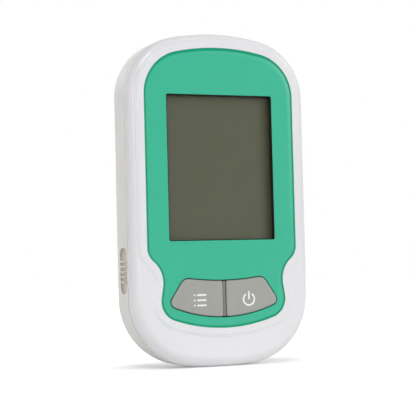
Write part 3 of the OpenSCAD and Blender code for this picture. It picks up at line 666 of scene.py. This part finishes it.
def makeFrontShell():
    look = frontShell
    recessDepth = panelThickness + look["lap"]
    floorBack = panelThickness + look["floor"] - look["lap"]
    rings = [ringAt(panelTrace, look["recessGap"], recessDepth)]
    rings += edgeRings(panelTrace, look["recessEdge"], 0, grow=look["recessGap"], turn=-1)[::-1]
    out = look["collarWidth"]
    rings.append(ringAt(panelTrace, (look["recessGap"] + out) / 2, 0))

    def stepRing(out, share):  # share 0 is the collar's top, 1 is the shell's face
        flat = panelTrace[0] + out * panelTrace[1]
        inset = np.linalg.norm(flat - nearestOn(fineCase, flat), axis=1)
        return facingFront(flat, shellFace(inset) * share)

    done = 0
    for width, share in look["steps"]:
        for t in np.linspace(0, 1, 8):
            ease = 0.5 - 0.5 * math.cos(math.pi * t)
            rings.append(stepRing(out + t * width, done + share * ease))
        done += share
        out += width + look["ledge"]
    rings.append(stepRing(out, 1))
    inner = panelTrace[0] + out * panelTrace[1]
    feet = nearestOn(fineCase, inner)
    away = inner - feet
    inset = np.linalg.norm(away, axis=1)
    away /= inset[:, None]
    run = surfaceRun(inset)
    for t in np.linspace(0, 1, look["faceRings"] + 1)[1:]:
        here = insetAt(run * (1 - t))
        rings.append(facingFront(feet + away * here[:, None], shellFace(here)))
    seam = caseShape["seamDepth"]
    roll = caseShape["roll"]
    rollEnd = math.radians(caseShape["rollAngle"])
    for angle in np.linspace(0, rollEnd, 6):
        back = roll * (math.sin(rollEnd) - math.sin(angle))
        rings.append(facingFront(feet + away * roll * (1 - math.cos(angle)), seam - back))
    rings.append(facingFront(feet + away * look["skin"], seam))
    rings.append(facingFront(feet + away * look["skin"], floorBack))
    rings.append(ringAt(panelTrace, -look["floorReach"], floorBack))
    rings.append(ringAt(panelTrace, -look["floorReach"], recessDepth))
    shell = loft("frontShell", rings, tube=True)
    inside = [ringAt(caseTrace, -look["coreInset"], depth) for depth in (look["coreFront"], caseDepth)]
    floor = [ringAt(panelTrace, -look["floorInset"], depth) for depth in look["floorDepths"]]
    joinTo(shell, coreOf("front_shell", loft("inside", inside), loft("floor", floor)))
    return dress(shell, "frontShell", "case", "shell_white", finish["shellWhite"], "front_shell")


report(makeFrontShell())


# Rear shell: a cup with a rounded back edge, its openings cut with rounded rims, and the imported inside

rearShell = {
    "skin": 0.4,  # thickness of the part made here
    "windowEdge": 0.32,
    "windowCorner": 2.6,
    "windowDepth": 8.45,  # depth of the slider window's centre
    "windowHalfWidth": 3.35,
    "windowHalfHeight": 6.55,
    "windowZ": 28.6,
    "portHalfWidth": 4.1,
    "portHalfHeight": 0.9,
    "portDepth": 8.7,
    "portCorner": 0.4,
    "portEdge": 0.3,
    "boreRadius": 2.0,
    "boreEdge": 0.25,
    "boreReach": 1.2,  # past the heads of the screws
    "doorGap": 0.2,
    "doorCorner": 0.15,
    "doorEdge": 0.12,
    "labelHalfWidth": 15.0,  # a bare recess for a label, under the battery door
    "labelHalfHeight": 9.5,
    "labelCorner": 1.5,
    "labelEdge": 0.1,
    "labelZ": 27.5,
    "labelDepth": 0.15,
    "coreInset": 0.3,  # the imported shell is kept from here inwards
    "clear": 0.01,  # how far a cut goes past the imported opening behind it
}
screwLow, screwHigh = boxOf("case_screws")
doorLow, doorHigh = boxOf("battery_door")


def screwSpots():  # x and z of each screw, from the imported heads
    points = np.array([v.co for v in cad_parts["case_screws"].data.vertices]) / mm
    head = points[points[:, 1] > screwHigh[1] - 0.01]
    spots = []
    for top in (False, True):
        for left in (True, False):
            part = head[((head[:, 2] > caseHeight / 2) == top) & ((head[:, 0] < 0) == left)]
            middle = (part.min(axis=0) + part.max(axis=0)) / 2
            spots.append((middle[0], middle[2]))
    return spots


def makeRearShell():
    look = rearShell
    edge = caseShape["backEdge"]
    skin = look["skin"]
    seam = caseShape["seamDepth"] + caseShape["seamGap"]
    rings = edgeRings(caseTrace, edge - skin, caseDepth - skin, -1, -skin, 10)
    rings.append(ringAt(caseTrace, -skin, seam))
    rings += edgeRings(caseTrace, caseShape["seamEdge"], seam, steps=4)
    rings += edgeRings(caseTrace, edge, caseDepth, -1, steps=14)[::-1]
    shell = loft("rearShell", rings)
    doorway = roundedRectangle(doorHigh[0] + look["doorGap"],
                               (doorHigh[2] - doorLow[2]) / 2 + look["doorGap"],
                               look["doorCorner"], 0, (doorHigh[2] + doorLow[2]) / 2)
    cutFrom(shell, openingCutter(doorway, caseDepth, caseDepth - 2, look["doorEdge"], away=-1))
    inset = look["coreInset"]
    rings = [ringAt(caseTrace, -inset, 0)]
    rings += edgeRings(caseTrace, edge - inset, caseDepth - inset, -1, -inset, 8)[::-1]
    joinTo(shell, coreOf("rear_shell", loft("inside", rings)))
    clear = look["clear"]
    window = roundedRectangle(look["windowHalfWidth"] + clear, look["windowHalfHeight"] + clear,
                              look["windowCorner"], look["windowDepth"], look["windowZ"])
    port = roundedRectangle(look["portHalfWidth"] + clear, look["portHalfHeight"] + clear,
                            look["portCorner"], 0, look["portDepth"])
    cutFrom(shell, openingCutter(window, 0.0, 2.0, look["windowEdge"], facingLeft),
            openingCutter(port, 0.04, 3.0, look["portEdge"], facingDown))
    label = roundedRectangle(look["labelHalfWidth"], look["labelHalfHeight"], look["labelCorner"],
                             0, look["labelZ"])
    floor = caseDepth - look["labelDepth"]
    cutFrom(shell, openingCutter(label, caseDepth, floor, look["labelEdge"], away=-1))
    reach = screwHigh[1] - frontY - look["boreReach"]
    for x, z in screwSpots():
        bore = circleTrace(x, z, look["boreRadius"] + clear)
        cutFrom(shell, openingCutter(bore, caseDepth, reach, look["boreEdge"], away=-1))
    return dress(shell, "rearShell", "case", "shell_warm", finish["shellWarm"], "rear_shell")


report(makeRearShell())


# Green panel, with rounded edges round its border, the window and the keys

panelPiece = {
    "overGap": 0.09,  # how far it spreads towards the wall of its recess
    "edge": 0.55,  # width of the groove along the border, whose darker green is painted shade
    "topEdge": 0.25,  # added to it along the top
    "groove": 0.09,
    "wallDrop": 0.04,  # depth at which the groove meets the wall of the recess
    "shoulder": 1.6,  # width of the faint slope inside the edge
    "shoulderDrop": 0.15,
    "windowEdge": 0.16,
    "keyEdge": 0.16,
    "pocket": 1.12,  # from the window's edge to the wall of the pocket for the black frame
    "pocketCorner": 0.5,
}


def makePanel():
    look = panelPiece
    flat, outward = panelTrace
    edge = (look["edge"] + look["topEdge"] * np.clip(outward[:, 1], 0, 1) ** 2)[:, None]
    border = flat + outward * look["overGap"]
    inner = border - outward * edge
    rim = []
    for t in np.linspace(1, 0, 11):
        depth = look["shoulderDrop"] * (1 - t) + look["wallDrop"] * t
        depth += look["groove"] * math.sin(math.pi * t)
        rim.append(facingFront(inner + outward * edge * t, depth))
    under = [facingFront(inner, panelThickness), facingFront(border, panelThickness)]
    rim = loft("panelRim", under + rim, tube=True)
    # the rim's darker green is painted shade in the border groove
    report(dress(rim, "panelRim", "case", "panel_green", finish["rimGreenPaintedShade"]))
    rings = [facingFront(inner, panelThickness)]
    for t in np.linspace(0, 1, 9):
        depth = look["shoulderDrop"] * (1 - t) ** 2
        rings.append(facingFront(inner - outward * look["shoulder"] * t, depth))
    panel = loft("panel", rings)
    pocket = roundedRectangle(windowHalfWidth + look["pocket"], windowHalfHeight + look["pocket"],
                              look["pocketCorner"], 0, windowZ)
    keyway = (keyPairTrace[0] + keyPairTrace[1] * keyShape["gap"], keyPairTrace[1])
    cutFrom(panel, openingCutter(windowTrace, 0, 3, look["windowEdge"]),
            loft("pocket", [ringAt(pocket, 0, windowShape["lip"]), ringAt(pocket, 0, 3)]),
            openingCutter(keyway, 0, 3, look["keyEdge"]))
    return dress(panel, "panel", "case", "panel_green", finish["panelGreen"], "faceplate")


report(makePanel())


# Black frame round the display; its inner edge shows a little inside the window

gasketPiece = {
    "front": 0.14,  # depth of its lip inside the window
    "showing": 0.2,
    "edge": 0.08,
    "wall": 0.02,  # how far its lip goes into the panel's edge
}


def makeGasket():
    look = gasketPiece
    shoulder = gasketLow[1] - frontY + 0.01
    back = gasketHigh[1] - frontY
    rings = [ringAt(windowTrace, windowShape["frameWidth"], back),
             ringAt(windowTrace, windowShape["frameWidth"], shoulder),
             ringAt(windowTrace, look["wall"], shoulder),
             ringAt(windowTrace, look["wall"], look["front"])]
    rings += edgeRings(windowTrace, look["edge"], look["front"], grow=-look["showing"], steps=4, turn=-1)
    rings.append(ringAt(windowTrace, -look["showing"], back))
    gasket = loft("gasket", rings, tube=True)
    return dress(gasket, "windowFrame", "case", "black_foam", finish["frameBlack"], "lcd_gasket")


report(makeGasket())


# Keys: soft-edged pads with a slight crown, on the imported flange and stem

keyPiece = {
    "face": 0.38,  # how far the crown stands out of the panel
    "rim": 0.5,
    "crown": 0.08,
    "crownReach": 0.9,
    "gridStep": 0.45,  # of the mesh on the crown, which stays this margin off the rim
    "gridMargin": 0.2,
    "back": 1.6,  # depth of the pad's back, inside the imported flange
    "coreFront": 1.2,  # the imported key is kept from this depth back
}


def crownAt(places, border):  # height of the crown, which rises from the rim inwards
    away = np.linalg.norm(places - nearestOn(border, places), axis=1)
    return keyPiece["crown"] * (1 - np.exp(-(away / keyPiece["crownReach"]) ** 2))


def insideOf(places, border):  # which places lie inside a closed line
    ahead = np.roll(border, -1, axis=0)
    x, z = places[:, 0:1], places[:, 1:2]
    crosses = (border[:, 1] > z) != (ahead[:, 1] > z)
    rise = np.where(ahead[:, 1] == border[:, 1], 1, ahead[:, 1] - border[:, 1])
    left = x < (ahead[:, 0] - border[:, 0]) * (z - border[:, 1]) / rise + border[:, 0]
    return (crosses & left).sum(1) % 2 == 1


def makeKey(side, node, name):
    look = keyPiece
    trace = traceOutline(oneKeyCircles(side), 0.002, 50)
    top = look["crown"] - look["face"]
    rings = [ringAt(trace, 0, look["back"])]
    rings += edgeRings(trace, look["rim"], top, steps=8)[::-1]
    border = trace[0] - trace[1] * look["rim"]
    step = look["gridStep"]
    low = border.min(0) + step / 2
    high = border.max(0)
    grid = [(x, z) for x in np.arange(low[0], high[0], step) for z in np.arange(low[1], high[1], step)]
    grid = np.array(grid)
    grid = grid[insideOf(grid, border)]
    far = np.linalg.norm(grid - nearestOn(border, grid), axis=1) > look["gridMargin"]
    flat = np.concatenate([border, grid[far]])
    loop = [(i, (i + 1) % len(border)) for i in range(len(border))]
    found = geometry.delaunay_2d_cdt([Vector(p) for p in flat.tolist()], loop, [], 1, 1e-6)
    flat = np.array([tuple(v) for v in found[0]])
    count = len(rings) * len(border)
    points = np.concatenate(rings + [facingFront(flat, top - crownAt(flat, border))])
    faces = [tuple(range(len(border)))]
    for j in range(len(rings) - 1):
        for i in range(len(border)):
            k = (i + 1) % len(border)
            a = j * len(border)
            b = a + len(border)
            faces.append((a + i, a + k, b + k, b + i))
    faces += [tuple(i + count for i in face) for face in found[2]]
    key = meshFrom(name, points, faces)
    low, high = boxOf(node)
    lower = block("lower", (low[0] - 1, frontY + look["coreFront"], low[2] - 1), high + 1)
    joinTo(key, coreOf(node, lower))
    body = "right_key" if side > 0 else "left_key"
    return dress(key, name, body, "key_grey", finish["keyGrey"], node)


report(makeKey(-1, "button_left", "leftKey"), makeKey(1, "button_right", "rightKey"))


# Printed marks: a list of three lines on the left key, an on-off ring on the right key

markPiece = {
    "stroke": 0.5,
    "raised": 0.02,
    "sunk": 0.12,
    "barLength": 3.0,
    "barPitch": 1.5,
    "bulletGap": 0.5,
    "bulletRadius": 0.28,
    "ringRadius": 1.75,
    "ringOpening": 76,  # degrees
    "ringDrop": 0.15,
    "stemLength": 2.0,
    "leftX": -7.9,
    "rightX": 7.6,
    "markZ": 19.6,
}


def mark(name, traces, body):
    top = -keyPiece["face"] - markPiece["raised"]
    low = markPiece["sunk"] - keyPiece["face"]
    parts = [loft("mark", [ringAt(trace, 0, top), ringAt(trace, 0, low)]) for trace in traces]
    return dress(joinTo(*parts), name, body, "shell_white", finish["printWhite"])


def bar(x0, z0, x1, z1):  # a stroke with round ends
    r = markPiece["stroke"] / 2
    return traceOutline([(x0, z0, r), (x1, z1, r)], 0.002)


def arcAt(middle, radius, start, end, count):
    angles = np.linspace(start, end, count)
    return middle + radius * np.stack([np.cos(angles), np.sin(angles)], 1)


def ringStroke(x, z):  # an open ring with round ends
    r = markPiece["stroke"] / 2
    radius = markPiece["ringRadius"]
    half = math.radians(markPiece["ringOpening"] / 2)
    first = math.pi / 2 - half
    last = math.pi / 2 + half - 2 * math.pi
    middle = np.array([x, z])
    firstTip = arcAt(middle, radius, first, first, 1)
    lastTip = arcAt(middle, radius, last, last, 1)
    points = np.concatenate([arcAt(middle, radius + r, first, last, 60),
                             arcAt(lastTip, r, last, last - math.pi, 12)[1:-1],
                             arcAt(middle, radius - r, last, first, 60),
                             arcAt(firstTip, r, first + math.pi, first, 12)[1:-1]])
    return points, np.zeros_like(points)


def makeMarks():
    look = markPiece
    end = look["stroke"] / 2
    x = look["leftX"]
    z = look["markZ"]
    half = (look["barLength"] + look["bulletGap"] + look["stroke"]) / 2
    bars = []
    for row in (-1, 0, 1):
        height = z + row * look["barPitch"]
        bars.append(bar(x + half - look["barLength"] + end, height, x + half - end, height))
        bars.append(circleTrace(x - half + end, height, look["bulletRadius"], 24))
    report(mark("listMark", bars, "left_key"))
    x = look["rightX"]
    top = z + look["ringRadius"] + end
    strokes = [ringStroke(x, z - look["ringDrop"]), bar(x, top - look["stemLength"], x, top)]
    report(mark("powerMark", strokes, "right_key"))


makeMarks()


# Web between the keys, with a rounded front edge

webPiece = {
    "width": 0.96,
    "front": 0.12,
    "edge": 0.2,
    "corner": 0.2,
    "shorter": 0.1,  # at each end, than the keys are high
    "back": 1.5,
    "coreFront": 0.8,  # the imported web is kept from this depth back
}


def makeWeb():
    look = webPiece
    low = keysLow + look["shorter"]
    high = keysLow + keyShape["dip"] - look["shorter"]
    trace = roundedRectangle(look["width"] / 2, (high - low) / 2, look["corner"], 0, (high + low) / 2)
    rings = [ringAt(trace, 0, look["back"])]
    rings += edgeRings(trace, look["edge"], look["front"], steps=5)[::-1]
    web = loft("web", rings)
    boxLow, boxHigh = boxOf("key_divider")
    lower = block("lower", (boxLow[0] - 1, frontY + look["coreFront"], boxLow[2] - 1), boxHigh + 1)
    joinTo(web, coreOf("key_divider", lower))
    return dress(web, "keyWeb", "case", "key_grey", finish["webGrey"], "key_divider")


report(makeWeb())


# Thumb slider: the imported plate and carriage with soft-edged ribs

sliderPiece = {
    "plate": 0.7,  # depth of the plate's face under the case's side
    "plateThickness": 0.8,
    "ribs": 5,
    "pitch": 1.5,
    "width": 0.72,
    "edge": 0.28,
    "length": 3.3,
    "low": 0.15,  # how far the ribs stay under their packed height
    "shift": 0.75,  # towards the back, from the middle of the window
    "drop": 0.3,
    "sink": 0.15,
    "spare": 2.3,  # how far the plate reaches past the ends of its window
    "spareAhead": 0.2,  # and past its front side
    "dip": 0.5,  # depth of the plate's step along the front side of the window
    "dipWidth": 1.2,
}
sliderLow, sliderHigh = boxOf("ejector_slider")


def makeSlider():
    look = sliderPiece
    faceX = -caseWidth / 2 + look["plate"]
    low = (faceX - 0.02, sliderLow[1] - 1, sliderLow[2] - 1)
    slider = coreOf("ejector_slider", block("plate", low, sliderHigh + 1))
    ahead = frontY + rearShell["windowDepth"] - rearShell["windowHalfWidth"] - look["spareAhead"]
    tall = rearShell["windowHalfHeight"] + look["spare"]
    joinTo(slider, block("reach", (faceX, ahead, rearShell["windowZ"] - tall),
                         (faceX + look["plateThickness"], sliderLow[1] + 0.5,
                          rearShell["windowZ"] + tall)))
    cutFrom(slider, block("dip", (faceX - 0.1, ahead - 1, sliderLow[2] - 1),
                          (faceX + look["dip"], ahead + look["dipWidth"], sliderHigh[2] + 1)))
    middle = frontY + rearShell["windowDepth"] + look["shift"]
    half = (look["length"] / 2, look["width"] / 2)
    for i in range(look["ribs"]):
        z = rearShell["windowZ"] - look["drop"] + (i - (look["ribs"] - 1) / 2) * look["pitch"]
        rib = block("rib", (sliderLow[0] + look["low"], middle - half[0], z - half[1]),
                    (faceX + look["sink"], middle + half[0], z + half[1]))
        joinTo(slider, soften(rib, look["edge"], 4))
    dress(slider, "thumbSlider", "slider", "slider_beige", finish["sliderBeige"], "ejector_slider")
    return slider


report(makeSlider())


# Battery door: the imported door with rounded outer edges, ridges in its finger dent and an opening arrow

doorPiece = {
    "edge": 0.4,
    "corner": 0.6,
    "dentDrop": 5.0,  # middle of the finger dent under the door's upper edge
    "ridges": 3,
    "ridgePitch": 1.25,
    "ridgeWidth": 0.5,
    "ridgeEdge": 0.18,
    "ridgeLength": 9.0,
    "ridgeTop": 0.12,  # under the door's face
    "arrowSize": 2.6,
    "arrowHeight": 0.8,  # as a share of its size
    "arrowCorner": 0.2,
    "arrowDrop": 10.5,
    "arrowDepth": 0.1,
}


def makeDoor():
    look = doorPiece
    halfWidth = doorHigh[0]
    low = doorLow[2] - 3
    trace = roundedRectangle(halfWidth + 0.001, (doorHigh[2] - low) / 2, look["corner"],
                             0, (doorHigh[2] + low) / 2)
    rings = [ringAt(trace, 0, doorLow[1] - frontY - 1)]
    rings += edgeRings(trace, look["edge"], caseDepth, -1)[::-1]
    door = combine(copyOf("battery_door", "door"), "INTERSECT", [loft("envelope", rings)])
    dentZ = doorHigh[2] - look["dentDrop"]
    for i in range(look["ridges"]):
        z = dentZ + (i - (look["ridges"] - 1) / 2) * look["ridgePitch"]
        back = frontY + caseDepth - look["ridgeTop"]
        ridge = block("ridge", (-look["ridgeLength"] / 2, back - 0.8, z - look["ridgeWidth"] / 2),
                      (look["ridgeLength"] / 2, back, z + look["ridgeWidth"] / 2))
        joinTo(door, soften(ridge, look["ridgeEdge"], 3))
    size = look["arrowSize"]
    top = doorHigh[2] - look["arrowDrop"]
    r = look["arrowCorner"]
    tip = top - size * look["arrowHeight"]
    arrow = traceOutline([(-size / 2, top, r), (size / 2, top, r), (0, tip, r)])
    shallow = caseDepth - look["arrowDepth"]
    cutFrom(door, loft("hollow", [ringAt(arrow, 0, shallow), ringAt(arrow, 0, caseDepth + 1)]))
    inlay = loft("arrow", [ringAt(arrow, -0.02, shallow - 0.1), ringAt(arrow, -0.02, shallow + 0.03)])
    report(dress(inlay, "doorArrow", "door", "key_grey", finish["webGrey"]))
    return dress(door, "batteryDoor", "door", "shell_warm", finish["shellWarm"], "battery_door")


report(makeDoor())


# Coin cells: rounded cans with a stepped cap and a plus sign on the can's side

cellPiece = {
    "canEdge": 0.5,
    "capEdge": 0.2,
    "rim": 0.3,
    "step": 1.2,
    "plus": 4.6,
    "plusWidth": 0.8,
    "plusDepth": 0.2,
}
cellsLow, cellsHigh = boxOf("coin_cells")


def makeCells():
    look = cellPiece
    r = (cellsHigh[2] - cellsLow[2]) / 2
    front = cellsLow[1] - frontY
    back = cellsHigh[1] - frontY
    z = (cellsHigh[2] + cellsLow[2]) / 2
    cells = []
    for x in (cellsLow[0] + r, cellsHigh[0] - r):
        can = circleTrace(x, z, r, 96)
        rim = front + look["rim"]
        rings = edgeRings(can, look["capEdge"], front, grow=-look["step"], steps=3)
        rings.append(ringAt(can, -look["step"], rim))
        rings += edgeRings(can, look["capEdge"], rim, steps=3)
        rings += edgeRings(can, look["canEdge"], back, -1)[::-1]
        cell = loft("cell", rings)
        y = cellsHigh[1]
        arm = (look["plus"] / 2, look["plusWidth"] / 2)
        for across, up in (arm, arm[::-1]):
            cutFrom(cell, block("arm", (x - across, y - look["plusDepth"], z - up),
                                (x + across, y + 1, z + up)))
        cells.append(cell)
    joinTo(cells[0], cells[1])
    return dress(cells[0], "coinCells", "case", "steel", finish["steel"], "coin_cells")


report(makeCells())


# Screws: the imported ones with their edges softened

screwPiece = {
    "edge": 0.1,
    "angle": 40,  # degrees between two faces, over which their edge is softened
}


def makeScrews():
    screws = soften(copyOf("case_screws", "screws"), screwPiece["edge"], 2, screwPiece["angle"])
    return dress(screws, "caseScrews", "case", "steel", finish["steel"], "case_screws")


report(makeScrews())


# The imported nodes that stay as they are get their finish

nodeFinish = {
    "display_lens": "clearPlastic", "lcd_panel": "displayOlive", "lcd_holder": "naturalPlastic",
    "zebra_connector": "elastomer", "circuit_board": "circuitBoard", "processor_chip": "chipBlack",
    "analogue_chip": "chipBlack", "clock_crystal": "steel", "small_parts": "ceramicTan",
    "buzzer": "brass", "switch_left": "chipBlack", "switch_right": "chipBlack",
    "plunger_left": "frameBlack", "plunger_right": "frameBlack", "strip_connector": "naturalPlastic",
    "strip_contacts": "brass", "ejector_rod": "steel", "ejector_spring": "steel",
    "cell_contacts": "brass", "cell_clips": "steel", "door_pins": "steel", "board_screws": "steel",
}
for node, name in nodeFinish.items():
    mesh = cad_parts[node].data
    mesh.materials.clear()
    mesh.materials.append(finish[name])
print("packed nodes finished:", len(nodeFinish))


# Floor, light and camera

stageLook = {
    "floor": (0.93, 0.93, 0.93),
    "floorHalf": 1.5,  # metres
    "liftNear": 0.26,  # white that the floor shows over its shaded colour
    "liftFar": 1.0,
    "foot": (0.018, 0.006, 0.0),  # half size of the case's foot, metres
    "liftEnd": 0.036,  # metres away from it
    "world": 0.2,
}


def seenDirectly(tree):  # 1 for what the camera, a gloss or a clear piece shows, 0 for light on surfaces
    path = tree.nodes.new("ShaderNodeLightPath")
    both = tree.nodes.new("ShaderNodeMath")
    both.operation = "MAXIMUM"
    tree.links.new(path.outputs["Is Camera Ray"], both.inputs[0])
    tree.links.new(path.outputs["Is Glossy Ray"], both.inputs[1])
    every = tree.nodes.new("ShaderNodeMath")
    every.operation = "MAXIMUM"
    tree.links.new(both.outputs[0], every.inputs[0])
    tree.links.new(path.outputs["Is Transmission Ray"], every.inputs[1])
    return every.outputs[0]


def makeFloor():  # white paper that shows added white to the camera; the added white fades towards the foot of the case, a painted shade round the foot over the rendered shadow
    half = stageLook["floorHalf"]
    mesh = bpy.data.meshes.new("floor")
    corners = [(-half, -half, 0), (half, -half, 0), (half, half, 0), (-half, half, 0)]
    mesh.from_pydata(corners, [], [(0, 1, 2, 3)])
    floor = addObject("floor", mesh)
    material = bpy.data.materials.new("floorPaper")
    material.use_nodes = True
    tree = material.node_tree
    shader = tree.nodes["Principled BSDF"]
    shader.inputs["Base Color"].default_value = (*stageLook["floor"], 1)
    shader.inputs["Roughness"].default_value = 0.9
    shader.inputs["Specular IOR Level"].default_value = 0.1
    place = tree.nodes.new("ShaderNodeTexCoord").outputs["Object"]
    step = place  # of the way to the distance from the foot
    for operation, other in (("ABSOLUTE", None), ("SUBTRACT", stageLook["foot"]), ("MAXIMUM", (0, 0, 0))):
        node = tree.nodes.new("ShaderNodeVectorMath")
        node.operation = operation
        tree.links.new(step, node.inputs[0])
        if other:
            node.inputs[1].default_value = other
        step = node.outputs["Vector"]
    away = tree.nodes.new("ShaderNodeVectorMath")
    away.operation = "LENGTH"
    tree.links.new(step, away.inputs[0])
    # the added white is least near the foot: painted shade round the case's foot
    lift = tree.nodes.new("ShaderNodeMapRange")
    lift.interpolation_type = "SMOOTHSTEP"
    lift.inputs["From Min"].default_value = 0
    lift.inputs["From Max"].default_value = stageLook["liftEnd"]
    lift.inputs["To Min"].default_value = stageLook["liftNear"]
    lift.inputs["To Max"].default_value = stageLook["liftFar"]
    tree.links.new(away.outputs["Value"], lift.inputs["Value"])
    shown = tree.nodes.new("ShaderNodeMath")
    shown.operation = "MULTIPLY"
    tree.links.new(seenDirectly(tree), shown.inputs[0])
    tree.links.new(lift.outputs["Result"], shown.inputs[1])
    shader.inputs["Emission Color"].default_value = (1, 1, 1, 1)
    tree.links.new(shown.outputs[0], shader.inputs["Emission Strength"])
    mesh.materials.append(material)


def makeWorld():
    world = bpy.data.worlds.new("studio")
    bpy.context.scene.world = world
    world.use_nodes = True
    tree = world.node_tree
    back = tree.nodes["Background"]
    level = tree.nodes.new("ShaderNodeMapRange")
    level.inputs["To Min"].default_value = stageLook["world"]
    level.inputs["To Max"].default_value = 1.0
    tree.links.new(seenDirectly(tree), level.inputs["Value"])
    tree.links.new(level.outputs["Result"], back.inputs["Strength"])
    back.inputs["Color"].default_value = (1, 1, 1, 1)


lamps = {  # turned from straight on (left is negative), raised, both in degrees, and away in metres
    "front": {"turn": -30, "rise": 6, "away": 2.4, "size": (2.4, 1.2), "power": 22},
    "key": {"turn": -32, "rise": 50, "away": 2.5, "size": (0.85, 0.85), "power": 16},
    "right": {"turn": 55, "rise": 20, "away": 2.5, "size": (1.0, 1.2), "power": 24},
    "back": {"turn": 176, "rise": 10, "away": 2.5, "size": (1.6, 1.0), "power": 13},
    "left": {"turn": -90, "rise": 5, "away": 2.5, "size": (1.3, 1.3), "power": 3.4},
}


def makeLamps():
    for name, look in lamps.items():
        light = bpy.data.lights.new(name, "AREA")
        light.shape = "RECTANGLE"
        light.size, light.size_y = look["size"]
        light.energy = look["power"]
        lamp = bpy.data.objects.new(name, light)
        turn = math.radians(look["turn"])
        rise = math.radians(look["rise"])
        level = math.cos(rise)
        there = Vector((math.sin(turn) * level, -math.cos(turn) * level, math.sin(rise)))
        lamp.location = Vector((0, 0, caseHeight * mm / 2)) + there * look["away"]
        lamp.rotation_euler = (-there).to_track_quat("-Z", "Y").to_euler()
        bpy.context.scene.collection.objects.link(lamp)


cameraLook = {
    "place": (-0.1562, -0.3666, 0.02967),
    "yaw": 22.94,  # degrees to the left of straight on
    "elevation": -2.452,
    "roll": -1.471,
    "focal": 1336 / 416,  # in image widths
}


def makeCamera():
    look = cameraLook
    yaw, elevation, roll = (math.radians(look[k]) for k in ("yaw", "elevation", "roll"))
    level = math.cos(elevation)
    back = Vector((-math.sin(yaw) * level, -math.cos(yaw) * level, math.sin(elevation)))
    right = (-back).cross(Vector((0, 0, 1))).normalized()
    up = right.cross(-back)
    turnedRight = right * math.cos(roll) + up * math.sin(roll)
    turnedUp = up * math.cos(roll) - right * math.sin(roll)
    camera = bpy.data.objects.new("camera", bpy.data.cameras.new("camera"))
    camera.data.sensor_width = 36
    camera.data.lens = 36 * look["focal"]
    camera.data.clip_start = 0.01
    axes = Matrix((turnedRight, turnedUp, back)).transposed().to_4x4()
    camera.matrix_world = Matrix.Translation(look["place"]) @ axes
    bpy.context.scene.collection.objects.link(camera)
    bpy.context.scene.camera = camera


makeFloor()
makeWorld()
makeLamps()
makeCamera()
bpy.context.scene.view_settings.view_transform = "Standard"
print("stage set")
